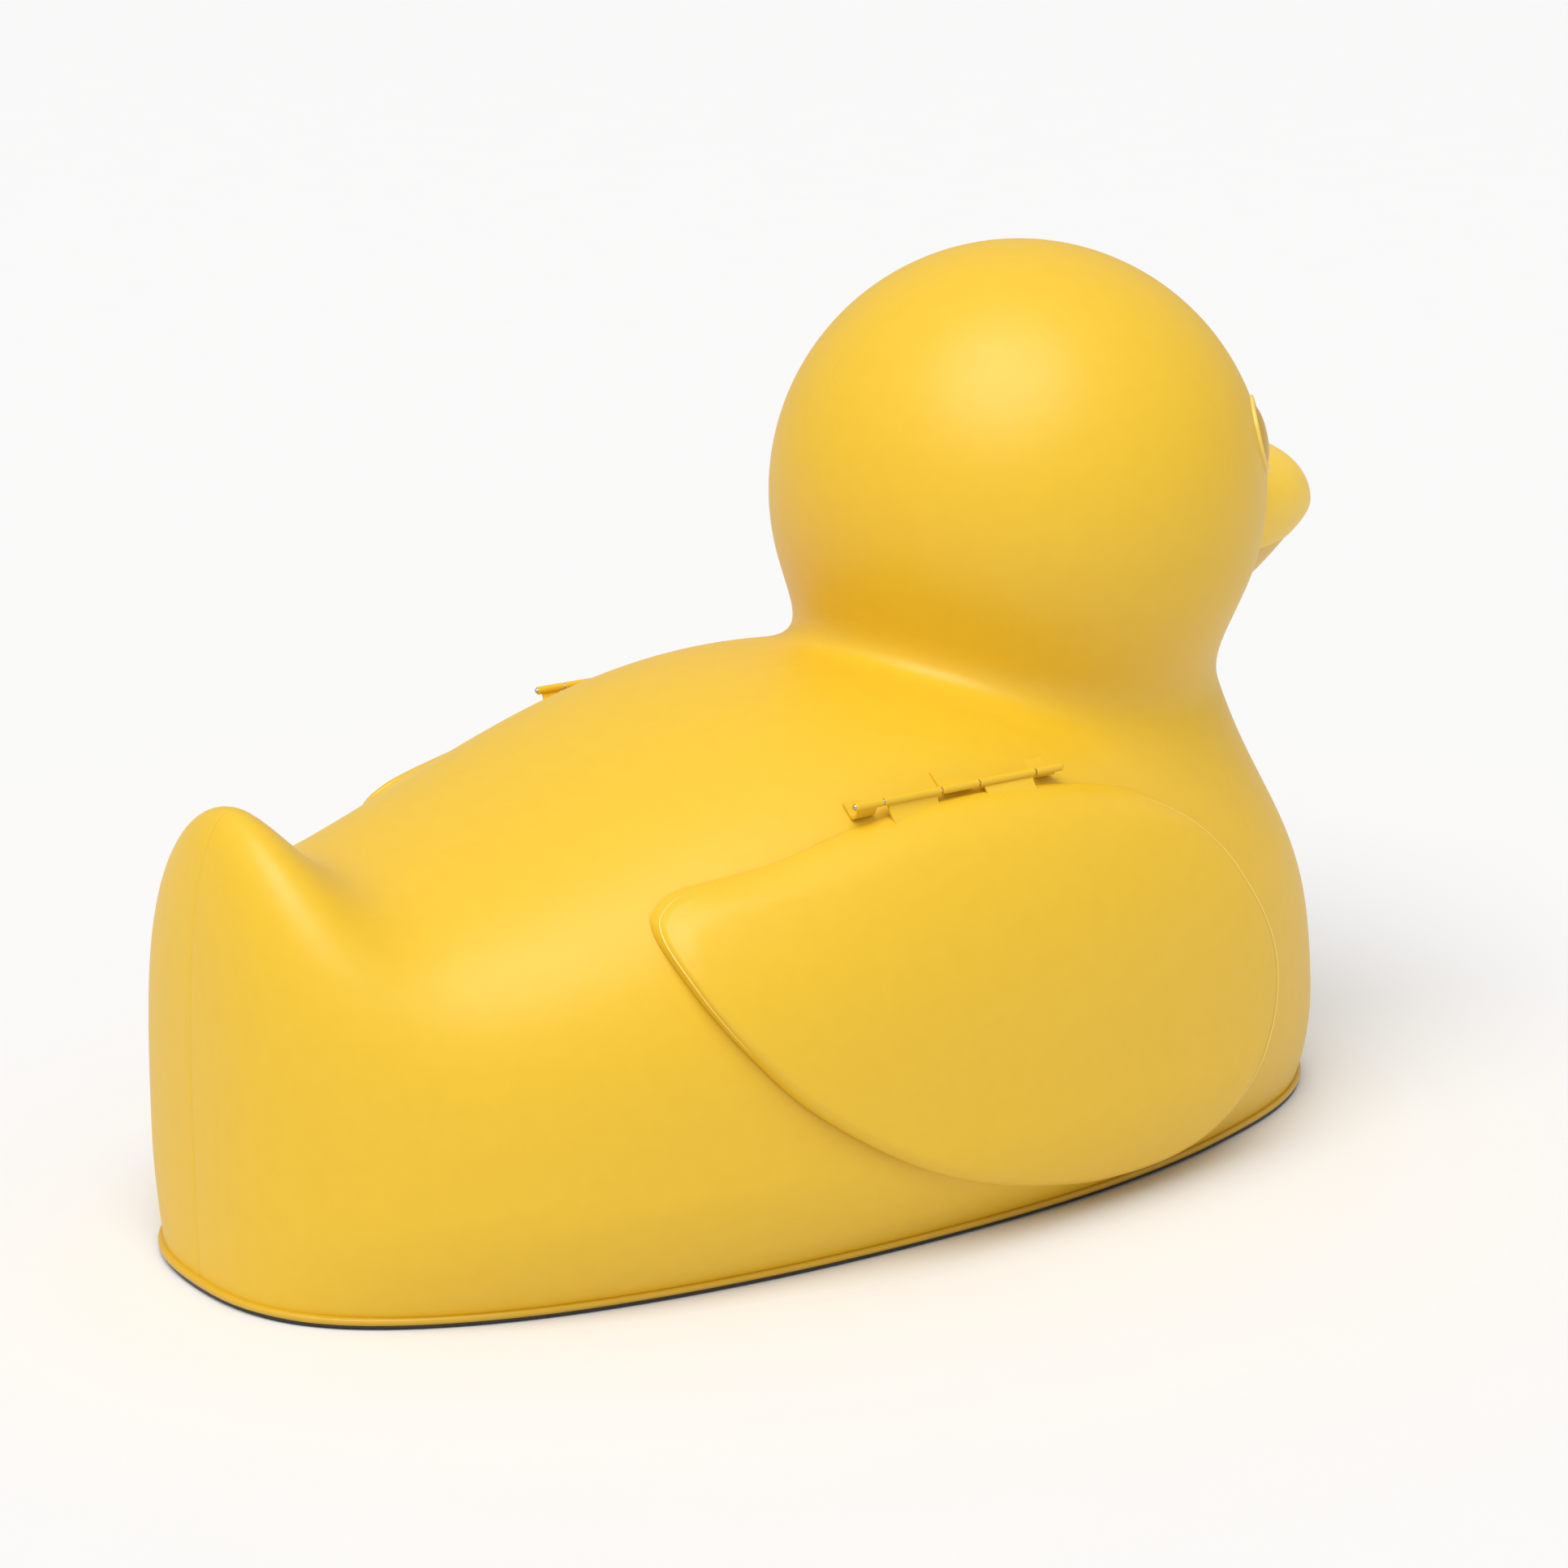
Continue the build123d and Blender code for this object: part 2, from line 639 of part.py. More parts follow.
def wheel():
    """Paddle wheel: hub with two spiders, six blades let into them, and the drive pin."""
    with BuildPart() as blades:
        with Locations((CRANK_X, 0, CRANK_Z)):
            for i in range(BLADES):
                with Locations(Location((0, 0, 0), (0, 30 + 360 * i / BLADES, 0))):
                    with Locations((0, 0, (HUB_R + WHEEL_R) / 2 - 4)):
                        Box(BLADE_THICK, 2 * WHEEL_HALF, WHEEL_R - HUB_R + 8)
            Cylinder(HUB_R, 400, rotation=(90, 0, 0), mode=Mode.SUBTRACT)
    with BuildPart() as hub:
        with Locations((CRANK_X, 0, CRANK_Z)):
            Cylinder(HUB_R, 2 * HUB_HALF, rotation=(90, 0, 0))
            with Locations((0, HUB_HALF - 16, 0), (0, -HUB_HALF + 16, 0)):
                Cylinder(SPIDER_R, 6, rotation=(90, 0, 0))
                with Locations(
                    *(
                        Location((150 * math.sin(a), 0, 150 * math.cos(a)))
                        for a in (math.radians(60 * i) for i in range(BLADES))
                    )
                ):
                    Cylinder(42, 30, rotation=(90, 0, 0), mode=Mode.SUBTRACT)
            Cylinder(SHAFT_R, 400, rotation=(90, 0, 0), mode=Mode.SUBTRACT)
        add(blades.part, mode=Mode.SUBTRACT)
        with Locations((CRANK_X, 60, CRANK_Z)):
            Cylinder(BOLT_R, 200, mode=Mode.SUBTRACT)
    save(blades.part, "paddle_blades")
    save(hub.part, "paddle_hub")
    with BuildPart() as pin:
        with Locations((CRANK_X, 60, CRANK_Z)):
            Cylinder(BOLT_R, 2 * HUB_R + 8)
    save(pin.part, "wheel_pin")


def steering():
    """Column, tiller handle, push rod, rudder and their bushes and pins."""
    roof = TUNNEL_Z + TUNNEL_WALL
    with BuildPart() as foot:
        with Locations((COLUMN_X, 0, roof)):
            Cylinder(30, 18, align=(Align.CENTER, Align.CENTER, Align.MIN))
            with Locations((0, 0, 4)):
                Cylinder(
                    COLUMN_R + BEARING_GAP, 40, align=(Align.CENTER, Align.CENTER, Align.MIN),
                    mode=Mode.SUBTRACT,
                )
    save(foot.part, "column_foot")
    with BuildPart() as collar:
        with Locations((COLUMN_X, 0, CONSOLE_TOP)):
            Cylinder(22, 12, align=(Align.CENTER, Align.CENTER, Align.MAX))
            Cylinder(34, 10, align=(Align.CENTER, Align.CENTER, Align.MIN))
            Cylinder(COLUMN_R + BEARING_GAP, 80, mode=Mode.SUBTRACT)
    save(collar.part, "column_bush")
    with BuildPart() as column:
        with Locations((COLUMN_X, 0, roof + 4)):
            Cylinder(COLUMN_R, HANDLE_Z - roof - 8, align=(Align.CENTER, Align.CENTER, Align.MIN))
        with BuildSketch(Plane.XY.offset(ARM_Z)):
            with Locations((COLUMN_X, ARM / 2)):
                SlotCenterToCenter(ARM, 44, rotation=90)
        extrude(amount=ARM_THICK)
        with Locations((COLUMN_X, ARM, ARM_Z)):
            Cylinder(ROD_PIN_R, 60, mode=Mode.SUBTRACT)
    save(column.part, "steering_column")
    with BuildPart() as handle:
        with Locations((COLUMN_X, 0, HANDLE_Z)):
            Cylinder(24, 40, align=(Align.CENTER, Align.CENTER, Align.MAX))
            with Locations((0, 0, -4)):
                Cylinder(
                    COLUMN_R, 40, align=(Align.CENTER, Align.CENTER, Align.MAX), mode=Mode.SUBTRACT
                )
        with Locations((COLUMN_X + 130, 0, HANDLE_Z - 16)):
            Cylinder(12, 240, rotation=(0, 90, 0))
        with Locations((COLUMN_X, 0, HANDLE_Z - 4)):
            Cylinder(
                COLUMN_R, 40, align=(Align.CENTER, Align.CENTER, Align.MAX), mode=Mode.SUBTRACT
            )
        with Locations((COLUMN_X + 250, 0, HANDLE_Z - 16)):
            Sphere(26)
    save(handle.part, "tiller_handle")
    rod_z = ARM_Z + ARM_THICK + 2
    with BuildPart() as rod:
        with BuildSketch(Plane.XY.offset(rod_z)):
            with Locations(((COLUMN_X + RUDDER_X) / 2, ARM)):
                SlotCenterToCenter(COLUMN_X - RUDDER_X, 30)
        extrude(amount=ROD_THICK)
        with Locations((COLUMN_X, ARM, rod_z), (RUDDER_X, ARM, rod_z)):
            Cylinder(ROD_PIN_R + BEARING_GAP, 60, mode=Mode.SUBTRACT)
    save(rod.part, "connecting_rod")
    for name, x in (("rod_pin_front", COLUMN_X), ("rod_pin_rear", RUDDER_X)):
        with BuildPart() as pin:
            with Locations((x, ARM, ARM_Z - 6)):
                Cylinder(ROD_PIN_R, 44, align=(Align.CENTER, Align.CENTER, Align.MIN))
            with Locations((x, ARM, rod_z + ROD_THICK + 1)):
                Cylinder(12, 6, align=(Align.CENTER, Align.CENTER, Align.MIN))
        save(pin.part, name)
    with BuildPart() as arm:
        with BuildSketch(Plane.XY.offset(ARM_Z)):
            with Locations((RUDDER_X, ARM / 2)):
                SlotCenterToCenter(ARM, 44, rotation=90)
        extrude(amount=ARM_THICK)
        with Locations((RUDDER_X, ARM, ARM_Z)):
            Cylinder(ROD_PIN_R, 60, mode=Mode.SUBTRACT)
        with Locations((RUDDER_X, 0, ARM_Z)):
            Cylinder(STOCK_R, 60, mode=Mode.SUBTRACT)
    save(arm.part, "rudder_arm")
    with BuildPart() as bush:
        with Locations((RUDDER_X, 0, TUNNEL_Z)):
            Cylinder(22, TUNNEL_WALL, align=(Align.CENTER, Align.CENTER, Align.MIN))
        with Locations((RUDDER_X, 0, roof)):
            Cylinder(32, 14, align=(Align.CENTER, Align.CENTER, Align.MIN))
            Cylinder(STOCK_R + BEARING_GAP, 100, mode=Mode.SUBTRACT)
    save(bush.part, "rudder_bush")
    with BuildPart() as rudder:
        with Locations((RUDDER_X, 0, 40)):
            Cylinder(STOCK_R, ARM_Z + ARM_THICK + 6 - 40, align=(Align.CENTER, Align.CENTER, Align.MIN))
        with BuildSketch(Plane.XY.offset(40)):
            with BuildLine():
                Spline(
                    (RUDDER_X + 60, 0), (RUDDER_X + 40, 10), (RUDDER_X, 13), (RUDDER_X - 90, 9),
                    (RUDDER_X - 190, 3), (RUDDER_X - 190, -3), (RUDDER_X - 90, -9), (RUDDER_X, -13),
                    (RUDDER_X + 40, -10), periodic=True,
                )
            make_face()
        extrude(amount=200)
    save(rudder.part, "rudder")


def seats():
    """Seat shells sliding on rails fixed to pedestals."""
    with BuildPart() as seat:
        with Locations(((SEAT_X0 + SEAT_X1) / 2, SEAT_Y, SEAT_Z)):
            Box(
                SEAT_X1 - SEAT_X0, 2 * SEAT_HALF, 24, align=(Align.CENTER, Align.CENTER, Align.MIN)
            )
        with BuildSketch(Plane.XZ.offset(-SEAT_Y)):
            with BuildLine():
                Polyline(
                    (SEAT_X0, SEAT_Z), (SEAT_X0 + 40, SEAT_Z), (SEAT_X0 - 60, SEAT_Z + 500),
                    (SEAT_X0 - 88, SEAT_Z + 500), close=True,
                )
            make_face()
        extrude(amount=SEAT_HALF, both=True)
        fillet(seat.edges().filter_by(Axis.X).group_by(Axis.Z)[-1], 10)
        with Locations(((SEAT_X0 + SEAT_X1) / 2, SEAT_Y, SEAT_Z)):
            for dy in (-110, 110):
                with Locations((0, dy + 16.5, 0), (0, dy - 16.5, 0)):
                    Box(300, 10, 14, align=(Align.CENTER, Align.CENTER, Align.MAX))
    both(seat.part, "seat")
    with BuildPart() as base:
        with Locations((-100, SEAT_Y, FLOOR_TOP)):
            high = SEAT_Z - RAIL_H - FLOOR_TOP
            Box(400, 300, high, align=(Align.CENTER, Align.CENTER, Align.MIN))
            fillet(base.edges().filter_by(Axis.Z), 30)
            Box(
                360, 260, high - 12, align=(Align.CENTER, Align.CENTER, Align.MIN),
                mode=Mode.SUBTRACT,
            )
    both(base.part, "seat_base")
    with BuildPart() as rails:
        with Locations((-100, SEAT_Y, SEAT_Z)):
            with Locations((0, 110, 0), (0, -110, 0)):
                Box(400, 20, RAIL_H, align=(Align.CENTER, Align.CENTER, Align.MAX))
    both(rails.part, "seat_rails")


def doors():
    """Wing-shaped gull doors over the doorways, with hinges and turn latches."""
    lining = skin_solid(DOOR_GAP)
    face = skin_solid(DOOR_OUT)
    with BuildPart() as door:
        with BuildSketch(Plane.XZ):
            with BuildLine():
                Spline(*WING, periodic=True)
            make_face()
        extrude(amount=-1200)
        Box(4000, 800, 4000, mode=Mode.SUBTRACT)
        add(face, mode=Mode.INTERSECT)
        with Locations((-145, HINGE_Y, HINGE_Z), (145, HINGE_Y, HINGE_Z)):
            Box(170, 50, 60, align=(Align.CENTER, Align.MIN, Align.MAX))
            Cylinder(HINGE_R, 170, rotation=(0, 90, 0))
        add(lining, mode=Mode.SUBTRACT)
        with Locations((0, HINGE_Y, HINGE_Z)):
            Cylinder(HINGE_PIN_R + BEARING_GAP, 900, rotation=(0, 90, 0), mode=Mode.SUBTRACT)
        with Locations((0, HINGE_Y, HINGE_Z)):
            for x in (-265, 0, 265):
                with Locations((x, 0, 0)):
                    Cylinder(HINGE_R + 4, 120, rotation=(0, 90, 0), mode=Mode.SUBTRACT)
        with Locations((LATCH_X, BODY_HALF + 8, LATCH_Z)):
            Cylinder(LATCH_R + BEARING_GAP, 56, rotation=(90, 0, 0), mode=Mode.SUBTRACT)
    both(door.part, "wing_door")
    with BuildPart() as hinge:
        with Locations((0, HINGE_Y, HINGE_Z)):
            Cylinder(HINGE_PIN_R, 640, rotation=(0, 90, 0))
            for x, w in ((-275, 80), (0, 110), (275, 80)):
                with Locations((x, 0, 0)):
                    Cylinder(HINGE_R, w, rotation=(0, 90, 0))
                    Box(w - 30, 110, 20, align=(Align.CENTER, Align.MAX, Align.MAX))
        add(OUTER, mode=Mode.SUBTRACT)
    both(hinge.part, "door_hinge")
    inner_y = BODY_HALF - WALL - 5
    with BuildPart() as latch:
        with Locations((LATCH_X, inner_y - 2, LATCH_Z)):
            Cylinder(
                LATCH_R, 59, rotation=(90, 0, 0), align=(Align.CENTER, Align.CENTER, Align.MAX)
            )
        with BuildSketch(Plane.XZ.offset(-(inner_y - 2))):
            with Locations((LATCH_X + 35, LATCH_Z)):
                SlotCenterToCenter(70, 30)
        extrude(amount=10)
    both(latch.part, "door_latch")


def mooring():
    """Towing eye on the chest."""
    with BuildPart() as eye:
        with Locations((1560, 0, 330)):
            Box(90, 12, 60)
            fillet(eye.edges().filter_by(Axis.Y).group_by(Axis.X)[-1], 25)
        with Locations((1470, 0, 330)):
            Box(110, 60, 80)
        with Locations((1582, 0, 330)):
            Cylinder(12, 40, rotation=(90, 0, 0), mode=Mode.SUBTRACT)
    save(clear_of_skin(eye.part), "mooring_eye")


def main():
    """Build every node."""
    os.makedirs("parts", exist_ok=True)
    halves(moulding(), "shell")
    trims()
    head()
    neck_ring()
    bill()
    eyes()
    hull()
    inside()
    crank()
    pedals()
    bearings()
    wheel()
    steering()
    seats()
    doors()
    mooring()


main()
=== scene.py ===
import math

import bmesh
import bpy
import numpy as np
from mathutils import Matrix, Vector


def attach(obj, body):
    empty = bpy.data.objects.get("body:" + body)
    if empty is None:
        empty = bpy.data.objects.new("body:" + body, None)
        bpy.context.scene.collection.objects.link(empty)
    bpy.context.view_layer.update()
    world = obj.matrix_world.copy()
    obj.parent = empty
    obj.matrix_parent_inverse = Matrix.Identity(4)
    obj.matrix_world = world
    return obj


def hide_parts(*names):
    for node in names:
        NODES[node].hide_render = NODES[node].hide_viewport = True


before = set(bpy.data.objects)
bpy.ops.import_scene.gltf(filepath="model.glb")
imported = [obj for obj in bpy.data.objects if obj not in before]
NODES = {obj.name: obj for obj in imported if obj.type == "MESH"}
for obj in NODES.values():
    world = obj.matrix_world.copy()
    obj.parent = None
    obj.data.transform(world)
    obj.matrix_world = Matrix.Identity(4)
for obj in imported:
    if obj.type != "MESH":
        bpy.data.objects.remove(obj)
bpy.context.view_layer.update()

# ---- outside form, metres ----------------------------------------------
BODY_X, BODY_FRONT, BODY_REAR, BODY_HALF = 0.070, 1.420, 1.800, 0.910
PLAN_POWER, BEAM_POWER, PLAN_BLEND, WALL_POWER = 2.1, 2.68, 1.31, 4.85
BASE_FLARE, BILGE = 0.85, 0.300
CREST_X = (-1.630, -1.030, -0.230, 0.570, 1.270)
CREST_Z = (1.223, 1.099, 1.273, 1.224, 1.042)
CREST_FALL = 0.192
TAIL_RISE, TAIL_X, TAIL_LONG, TAIL_WIDE = 0.500, -1.680, 0.213, 0.600
NECK_X, NECK_Z, NECK_R, NECK_BLEND = 1.072, 0.202, 0.400, 0.348
HEAD_X, HEAD_Z, HEAD_R, HEAD_BLEND = 0.735, 1.642, 0.650, 0.111
WALL = 0.024
NECK_CUT = 1.340
LIP_TOP = 0.028

# ---- wing doors ----------------------------------------------------------
WING = np.array([
    (281, 1071), (449, 1039), (592, 994), (720, 927), (842, 821), (939, 680), (992, 563),
    (1003, 453), (969, 333), (874, 204), (745, 110), (584, 70), (365, 70), (178, 100),
    (-89, 175), (-343, 297), (-563, 449), (-698, 586), (-796, 719), (-850, 835), (-856, 900),
    (-825, 936), (-764, 963), (-634, 985), (-513, 1006), (-308, 1054), (-115, 1079), (57, 1086),
]) / 1000
WING_MIDDLE = (0.10, 0.60)
WING_OUT = 0.046       # height of the door's face over the skin
WING_IN = 0.004        # gap from the skin to the door's back
EDGE_LIP = 0.006       # the raised lip on the front and tip of the door's edge
LIP_AT, LIP_WIDE = 0.009, 0.006
LINE_R = 0.0028
HINGE_Y, HINGE_Z, PIN_R = 0.700, 1.110, 0.006
PIN_HALF = 0.320
KNUCKLE_R, KNUCKLE_BORE, KNUCKLE_EDGE = 0.0105, 0.0062, 0.002
DOOR_KNUCKLES = (-0.145, 0.145)
HULL_KNUCKLES = ((-0.275, 0.040), (0.0, 0.055), (0.275, 0.040))
STRAP_HALF = 0.0035
APERTURE = ((-0.400, 0.400), (0.640, 0.400), (0.700, 0.680), (0.560, 0.930), (-0.400, 0.950))
APERTURE_R = 0.110
LOOKOUT = (0.300, 0.620, 0.880)
LOOKOUT_R = 0.090

# ---- face ------------------------------------------------------------------
EYE_AIM = np.array((0.724, 0.647, 0.242))
EYE_R = 0.100
RIM_WIDE, RIM_HIGH = 0.006, 0.007
BALL_HIGH = 0.028
BILL_ROOT, BILL_TIP, BILL_HALF, BILL_UP, BILL_DOWN, BILL_Z = 1.200, 1.720, 0.325, 0.194, 0.272, 1.5506
MOUTH_Z = 1.456
LOWER_LONG, LOWER_WIDE, LOWER_DEEP = 1.02, 0.965, 1.42

# ---- camera ----------------------------------------------------------------
CAMERA = (-5.6925, -7.8603, 3.6311)
AIM = (0.56443, 0.78168, -0.26534)
LENS = 90.4


# ============================ the skin ======================================
def crest(x):
    """Height of the back at station x: the polynomial through CREST."""
    x = np.clip(x, -1.93, 1.57)
    total = np.zeros_like(x)
    for i, xi in enumerate(CREST_X):
        term = np.full_like(x, CREST_Z[i])
        for j, xj in enumerate(CREST_X):
            if i != j:
                term = term * (x - xj) / (xi - xj)
        total += term
    return total


def body_g(x, y, z):
    """Superellipse in plan raised to a power, plus height over crest height raised to another, less 1."""
    z = np.maximum(z, 0)
    half = BODY_HALF * (1 - (1 - BASE_FLARE) * np.clip((BILGE - z) / BILGE, 0, 1) ** 2)
    run = x - BODY_X
    length = np.where(run > 0, BODY_FRONT, BODY_REAR)
    plan = np.abs(run / length) ** PLAN_POWER + np.abs(y / half) ** BEAM_POWER
    tail = np.exp(-((x - TAIL_X) / TAIL_LONG) ** 2 - np.abs(y / TAIL_WIDE) ** 1.6)
    top = np.maximum(crest(x) - CREST_FALL * y * y, 0.3) + TAIL_RISE * tail
    return plan**PLAN_BLEND + (z / top) ** WALL_POWER - 1


def blend(a, b, k):
    """Smooth minimum: the smaller distance, less k/4 times the square of how nearly they agree."""
    h = np.maximum(k - np.abs(a - b), 0) / k
    return np.minimum(a, b) - h * h * k / 4


def skin(p):
    """Signed distance to the skin: body over its gradient, leaning neck post and round head, blended."""
    x, y, z = p[..., 0], p[..., 1], p[..., 2]
    e = 0.0005
    g = body_g(x, y, z)
    gx = (body_g(x + e, y, z) - body_g(x - e, y, z)) / (2 * e)
    gy = (body_g(x, y + e, z) - body_g(x, y - e, z)) / (2 * e)
    gz = (body_g(x, y, z + e) - body_g(x, y, z - e)) / (2 * e)
    body = g / np.maximum(np.sqrt(gx * gx + gy * gy + gz * gz), 0.2)
    ax, az = HEAD_X - NECK_X, HEAD_Z - NECK_Z
    t = np.clip(((x - NECK_X) * ax + (z - NECK_Z) * az) / (ax * ax + az * az), 0, 1)
    neck = np.sqrt((x - NECK_X - ax * t) ** 2 + y * y + (z - NECK_Z - az * t) ** 2) - NECK_R
    head = np.sqrt((x - HEAD_X) ** 2 + y * y + (z - HEAD_Z) ** 2) - HEAD_R
    return blend(blend(body, neck, NECK_BLEND), head, HEAD_BLEND)


def slope(p):
    """Unit outward normal of the skin's level through each point, by central differences."""
    e = 0.001
    n = np.stack([(skin(p + d) - skin(p - d)) for d in np.eye(3) * e], -1)
    return n / np.linalg.norm(n, axis=-1, keepdims=True)


def root(f, low, high):
    """Where f turns from negative to positive between two arrays of bounds, by bisection."""
    for _ in range(34):
        mid = (low + high) / 2
        inside = f(mid) < 0
        low, high = np.where(inside, mid, low), np.where(inside, high, mid)
    return (low + high) / 2


def polar(angle, r, z):
    """Points at radius r and height z round the neck's axis."""
    return np.stack([HEAD_X + r * np.cos(angle), r * np.sin(angle), z + 0 * r], -1)


def split(x):
    """Height where head and body part: level round the neck, rising behind it to clear the nape."""
    t = np.clip((0.34 - x) / 0.30, 0, 1)
    return NECK_CUT + 0.058 * t * t * (3 - 2 * t)


def meridians(angle, level, rows, low=LIP_TOP):
    """Skin curves in half planes round the neck, base to neck joint, stepped along the tangent and pulled back
    on the level, then read at rows even arc lengths."""
    r = root(lambda q: skin(polar(angle, q, low)) - level, np.full_like(angle, 0.2), np.full_like(angle, 2.9))
    z = np.full_like(angle, low)
    step, e = 0.008, 0.001
    track = [np.stack([r, z])]
    live = np.ones_like(angle, bool)
    ends = np.zeros_like(angle)
    for n in range(1, 900):
        for pull in range(3):
            f = skin(polar(angle, r, z)) - level
            fr = (skin(polar(angle, r + e, z)) - skin(polar(angle, r - e, z))) / (2 * e)
            fz = (skin(polar(angle, r, z + e)) - skin(polar(angle, r, z - e))) / (2 * e)
            size = np.hypot(fr, fz)
            if pull == 0:
                r, z = r - live * step * fz / size, z + live * step * fr / size
            else:
                r, z = r - live * f * fr / size**2, z - live * f * fz / size**2
        track.append(np.stack([r, z]))
        h0, h = (q[1] - split(HEAD_X + q[0] * np.cos(angle)) for q in track[-2:])
        done = live & (h >= 0)
        ends = np.where(done, n - 1 - h0 / np.where(done, h - h0, 1), ends)
        live = live & ~done
        if not live.any():
            break
    track = np.array(track)
    at = np.linspace(0, 1, rows)[None, :] * ends[:, None]
    k = np.minimum(at.astype(int), len(track) - 2)
    column = np.arange(len(angle))[:, None]
    t = (at - k)[..., None]
    rz = track[k, :, column] * (1 - t) + track[k + 1, :, column] * t
    rz[:, 0, 1] = low
    return polar(angle[:, None], rz[..., 0], rz[..., 1])


def crown(angle, level, rows):
    """Head skin from the neck joint to the pole: rays from the head's centre at even elevations."""
    def rise_at(q):
        return split(HEAD_X + q * np.cos(angle))

    start = root(
        lambda q: skin(polar(angle, q, rise_at(q))) - level, np.full_like(angle, 0.2), np.full_like(angle, 1.2)
    )
    low = np.arctan2(rise_at(start) - HEAD_Z, start)
    rise = low[:, None] + (np.pi / 2 - low)[:, None] * np.linspace(0, 1, rows)[None, :]
    aim = np.stack([
        np.cos(rise) * np.cos(angle)[:, None], np.cos(rise) * np.sin(angle)[:, None], np.sin(rise)
    ], -1)
    centre = np.array((HEAD_X, 0, HEAD_Z))
    t = root(
        lambda q: skin(centre + aim * q[..., None]) - level, np.full(rise.shape, 0.3), np.full(rise.shape, 1.0)
    )
    p = centre + aim * t[..., None]
    p[:, -1, :2] = (HEAD_X, 0)
    return p


# ============================ mesh building =================================
def grid_faces(nu, nv, close_u=False, close_v=False, start=0):
    """Quads of a grid of nu by nv points, rows and columns joined round where asked."""
    u = np.arange(nu if close_u else nu - 1)
    v = np.arange(nv if close_v else nv - 1)
    a, b = (m.ravel() for m in np.meshgrid(u, v, indexing="ij"))
    a2, b2 = (a + 1) % nu, (b + 1) % nv
    return start + np.stack([a * nv + b, a2 * nv + b, a2 * nv + b2, a * nv + b2], -1)


def piece(name, grids, finish, body, sharp=35, merge=2e-5, fill=()):
    """One object from point grids, each (points, close_u, close_v). Coinciding points merge, so seams and poles
    close, and faces are turned outwards."""
    points, faces, start = [], [], 0
    for grid, close_u, close_v in grids:
        nu, nv = grid.shape[:2]
        faces.append(grid_faces(nu, nv, close_u, close_v, start))
        points.append(grid.reshape(-1, 3))
        start += nu * nv
    mesh = bpy.data.meshes.new(name)
    mesh.from_pydata(np.concatenate(points), [], np.concatenate(faces).tolist() + [list(f) for f in fill])
    bm = bmesh.new()
    bm.from_mesh(mesh)
    bmesh.ops.remove_doubles(bm, verts=bm.verts, dist=merge)
    bmesh.ops.recalc_face_normals(bm, faces=bm.faces)
    bm.to_mesh(mesh)
    bm.free()
    mesh.shade_smooth()
    mesh.set_sharp_from_angle(angle=math.radians(sharp))
    obj = bpy.data.objects.new(name, mesh)
    bpy.context.scene.collection.objects.link(obj)
    mesh.materials.append(finish)
    if body:
        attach(obj, body)
    return obj


def carve(obj, cutters):
    """Takes closed cutter solids out of a piece and keeps the result as its mesh."""
    for cutter in cutters:
        cut = obj.modifiers.new("cut", "BOOLEAN")
        cut.object, cut.solver = cutter, "EXACT"
    graph = bpy.context.evaluated_depsgraph_get()
    made = bpy.data.meshes.new_from_object(obj.evaluated_get(graph))
    obj.modifiers.clear()
    finish = obj.data.materials[0]
    obj.data = made
    made.materials.clear()
    made.materials.append(finish)
    made.shade_smooth()
    made.set_sharp_from_angle(angle=math.radians(35))
    for cutter in cutters:
        bpy.data.objects.remove(cutter)


def rounded(corners, radius, steps=10):
    """Closed outline through corners, each replaced by a tangent arc of the radius."""
    out = []
    pts = np.array(corners, float)
    for i in range(len(pts)):
        a, b, c = pts[i - 1], pts[i], pts[(i + 1) % len(pts)]
        u, w = (a - b) / np.linalg.norm(a - b), (c - b) / np.linalg.norm(c - b)
        half = math.acos(np.clip(u @ w, -1, 1)) / 2
        middle = b + (u + w) / np.linalg.norm(u + w) * radius / math.sin(half)
        p, q = b + u * radius / math.tan(half) - middle, b + w * radius / math.tan(half) - middle
        turn = math.pi - 2 * half
        t = np.linspace(0, 1, steps)[:, None]
        out.append(middle + (p * np.sin((1 - t) * turn) + q * np.sin(t * turn)) / math.sin(turn))
    return np.concatenate(out)


def prism(outline, plane, low, high):
    """Closed prism of a flat outline in the xz or yz plane, from low to high along the third axis."""
    order = (0, 2, 1) if plane == "xz" else (2, 0, 1)
    ends = [np.column_stack([outline, np.full(len(outline), at)])[:, order] for at in (low, high)]
    grid = np.stack(ends)
    n = len(outline)
    return piece("cutter", [(grid, False, True)], PLAIN, None, fill=[range(n), range(n, 2 * n)])


def spline(points, count):
    """Closed smooth curve through the points: the periodic Catmull-Rom cubic at count even parameters."""
    p = np.asarray(points, float)
    at = np.arange(count) * len(p) / count
    k = at.astype(int)
    t = (at - k)[:, None]
    a, b, c, d = (p[(k + s) % len(p)] for s in (-1, 0, 1, 2))
    return 0.5 * (2 * b + (c - a) * t + (2 * a - 5 * b + 4 * c - d) * t**2 + (3 * b - a - 3 * c + d) * t**3)


def revolve(profile, centre, axis, count=96, start=(0, 0, 1)):
    """Profile of (radius, height) pairs turned round an axis through the centre."""
    w = np.asarray(axis, float) / np.linalg.norm(axis)
    u = np.cross(start, w)
    u = u / np.linalg.norm(u) if np.linalg.norm(u) > 1e-6 else np.array((1.0, 0, 0))
    v = np.cross(w, u)
    a = np.arange(count) * 2 * np.pi / count
    ring = np.cos(a)[:, None] * u + np.sin(a)[:, None] * v
    profile = np.asarray(profile, float)
    return np.asarray(centre) + ring[:, None] * profile[None, :, :1] + w * profile[None, :, 1:]


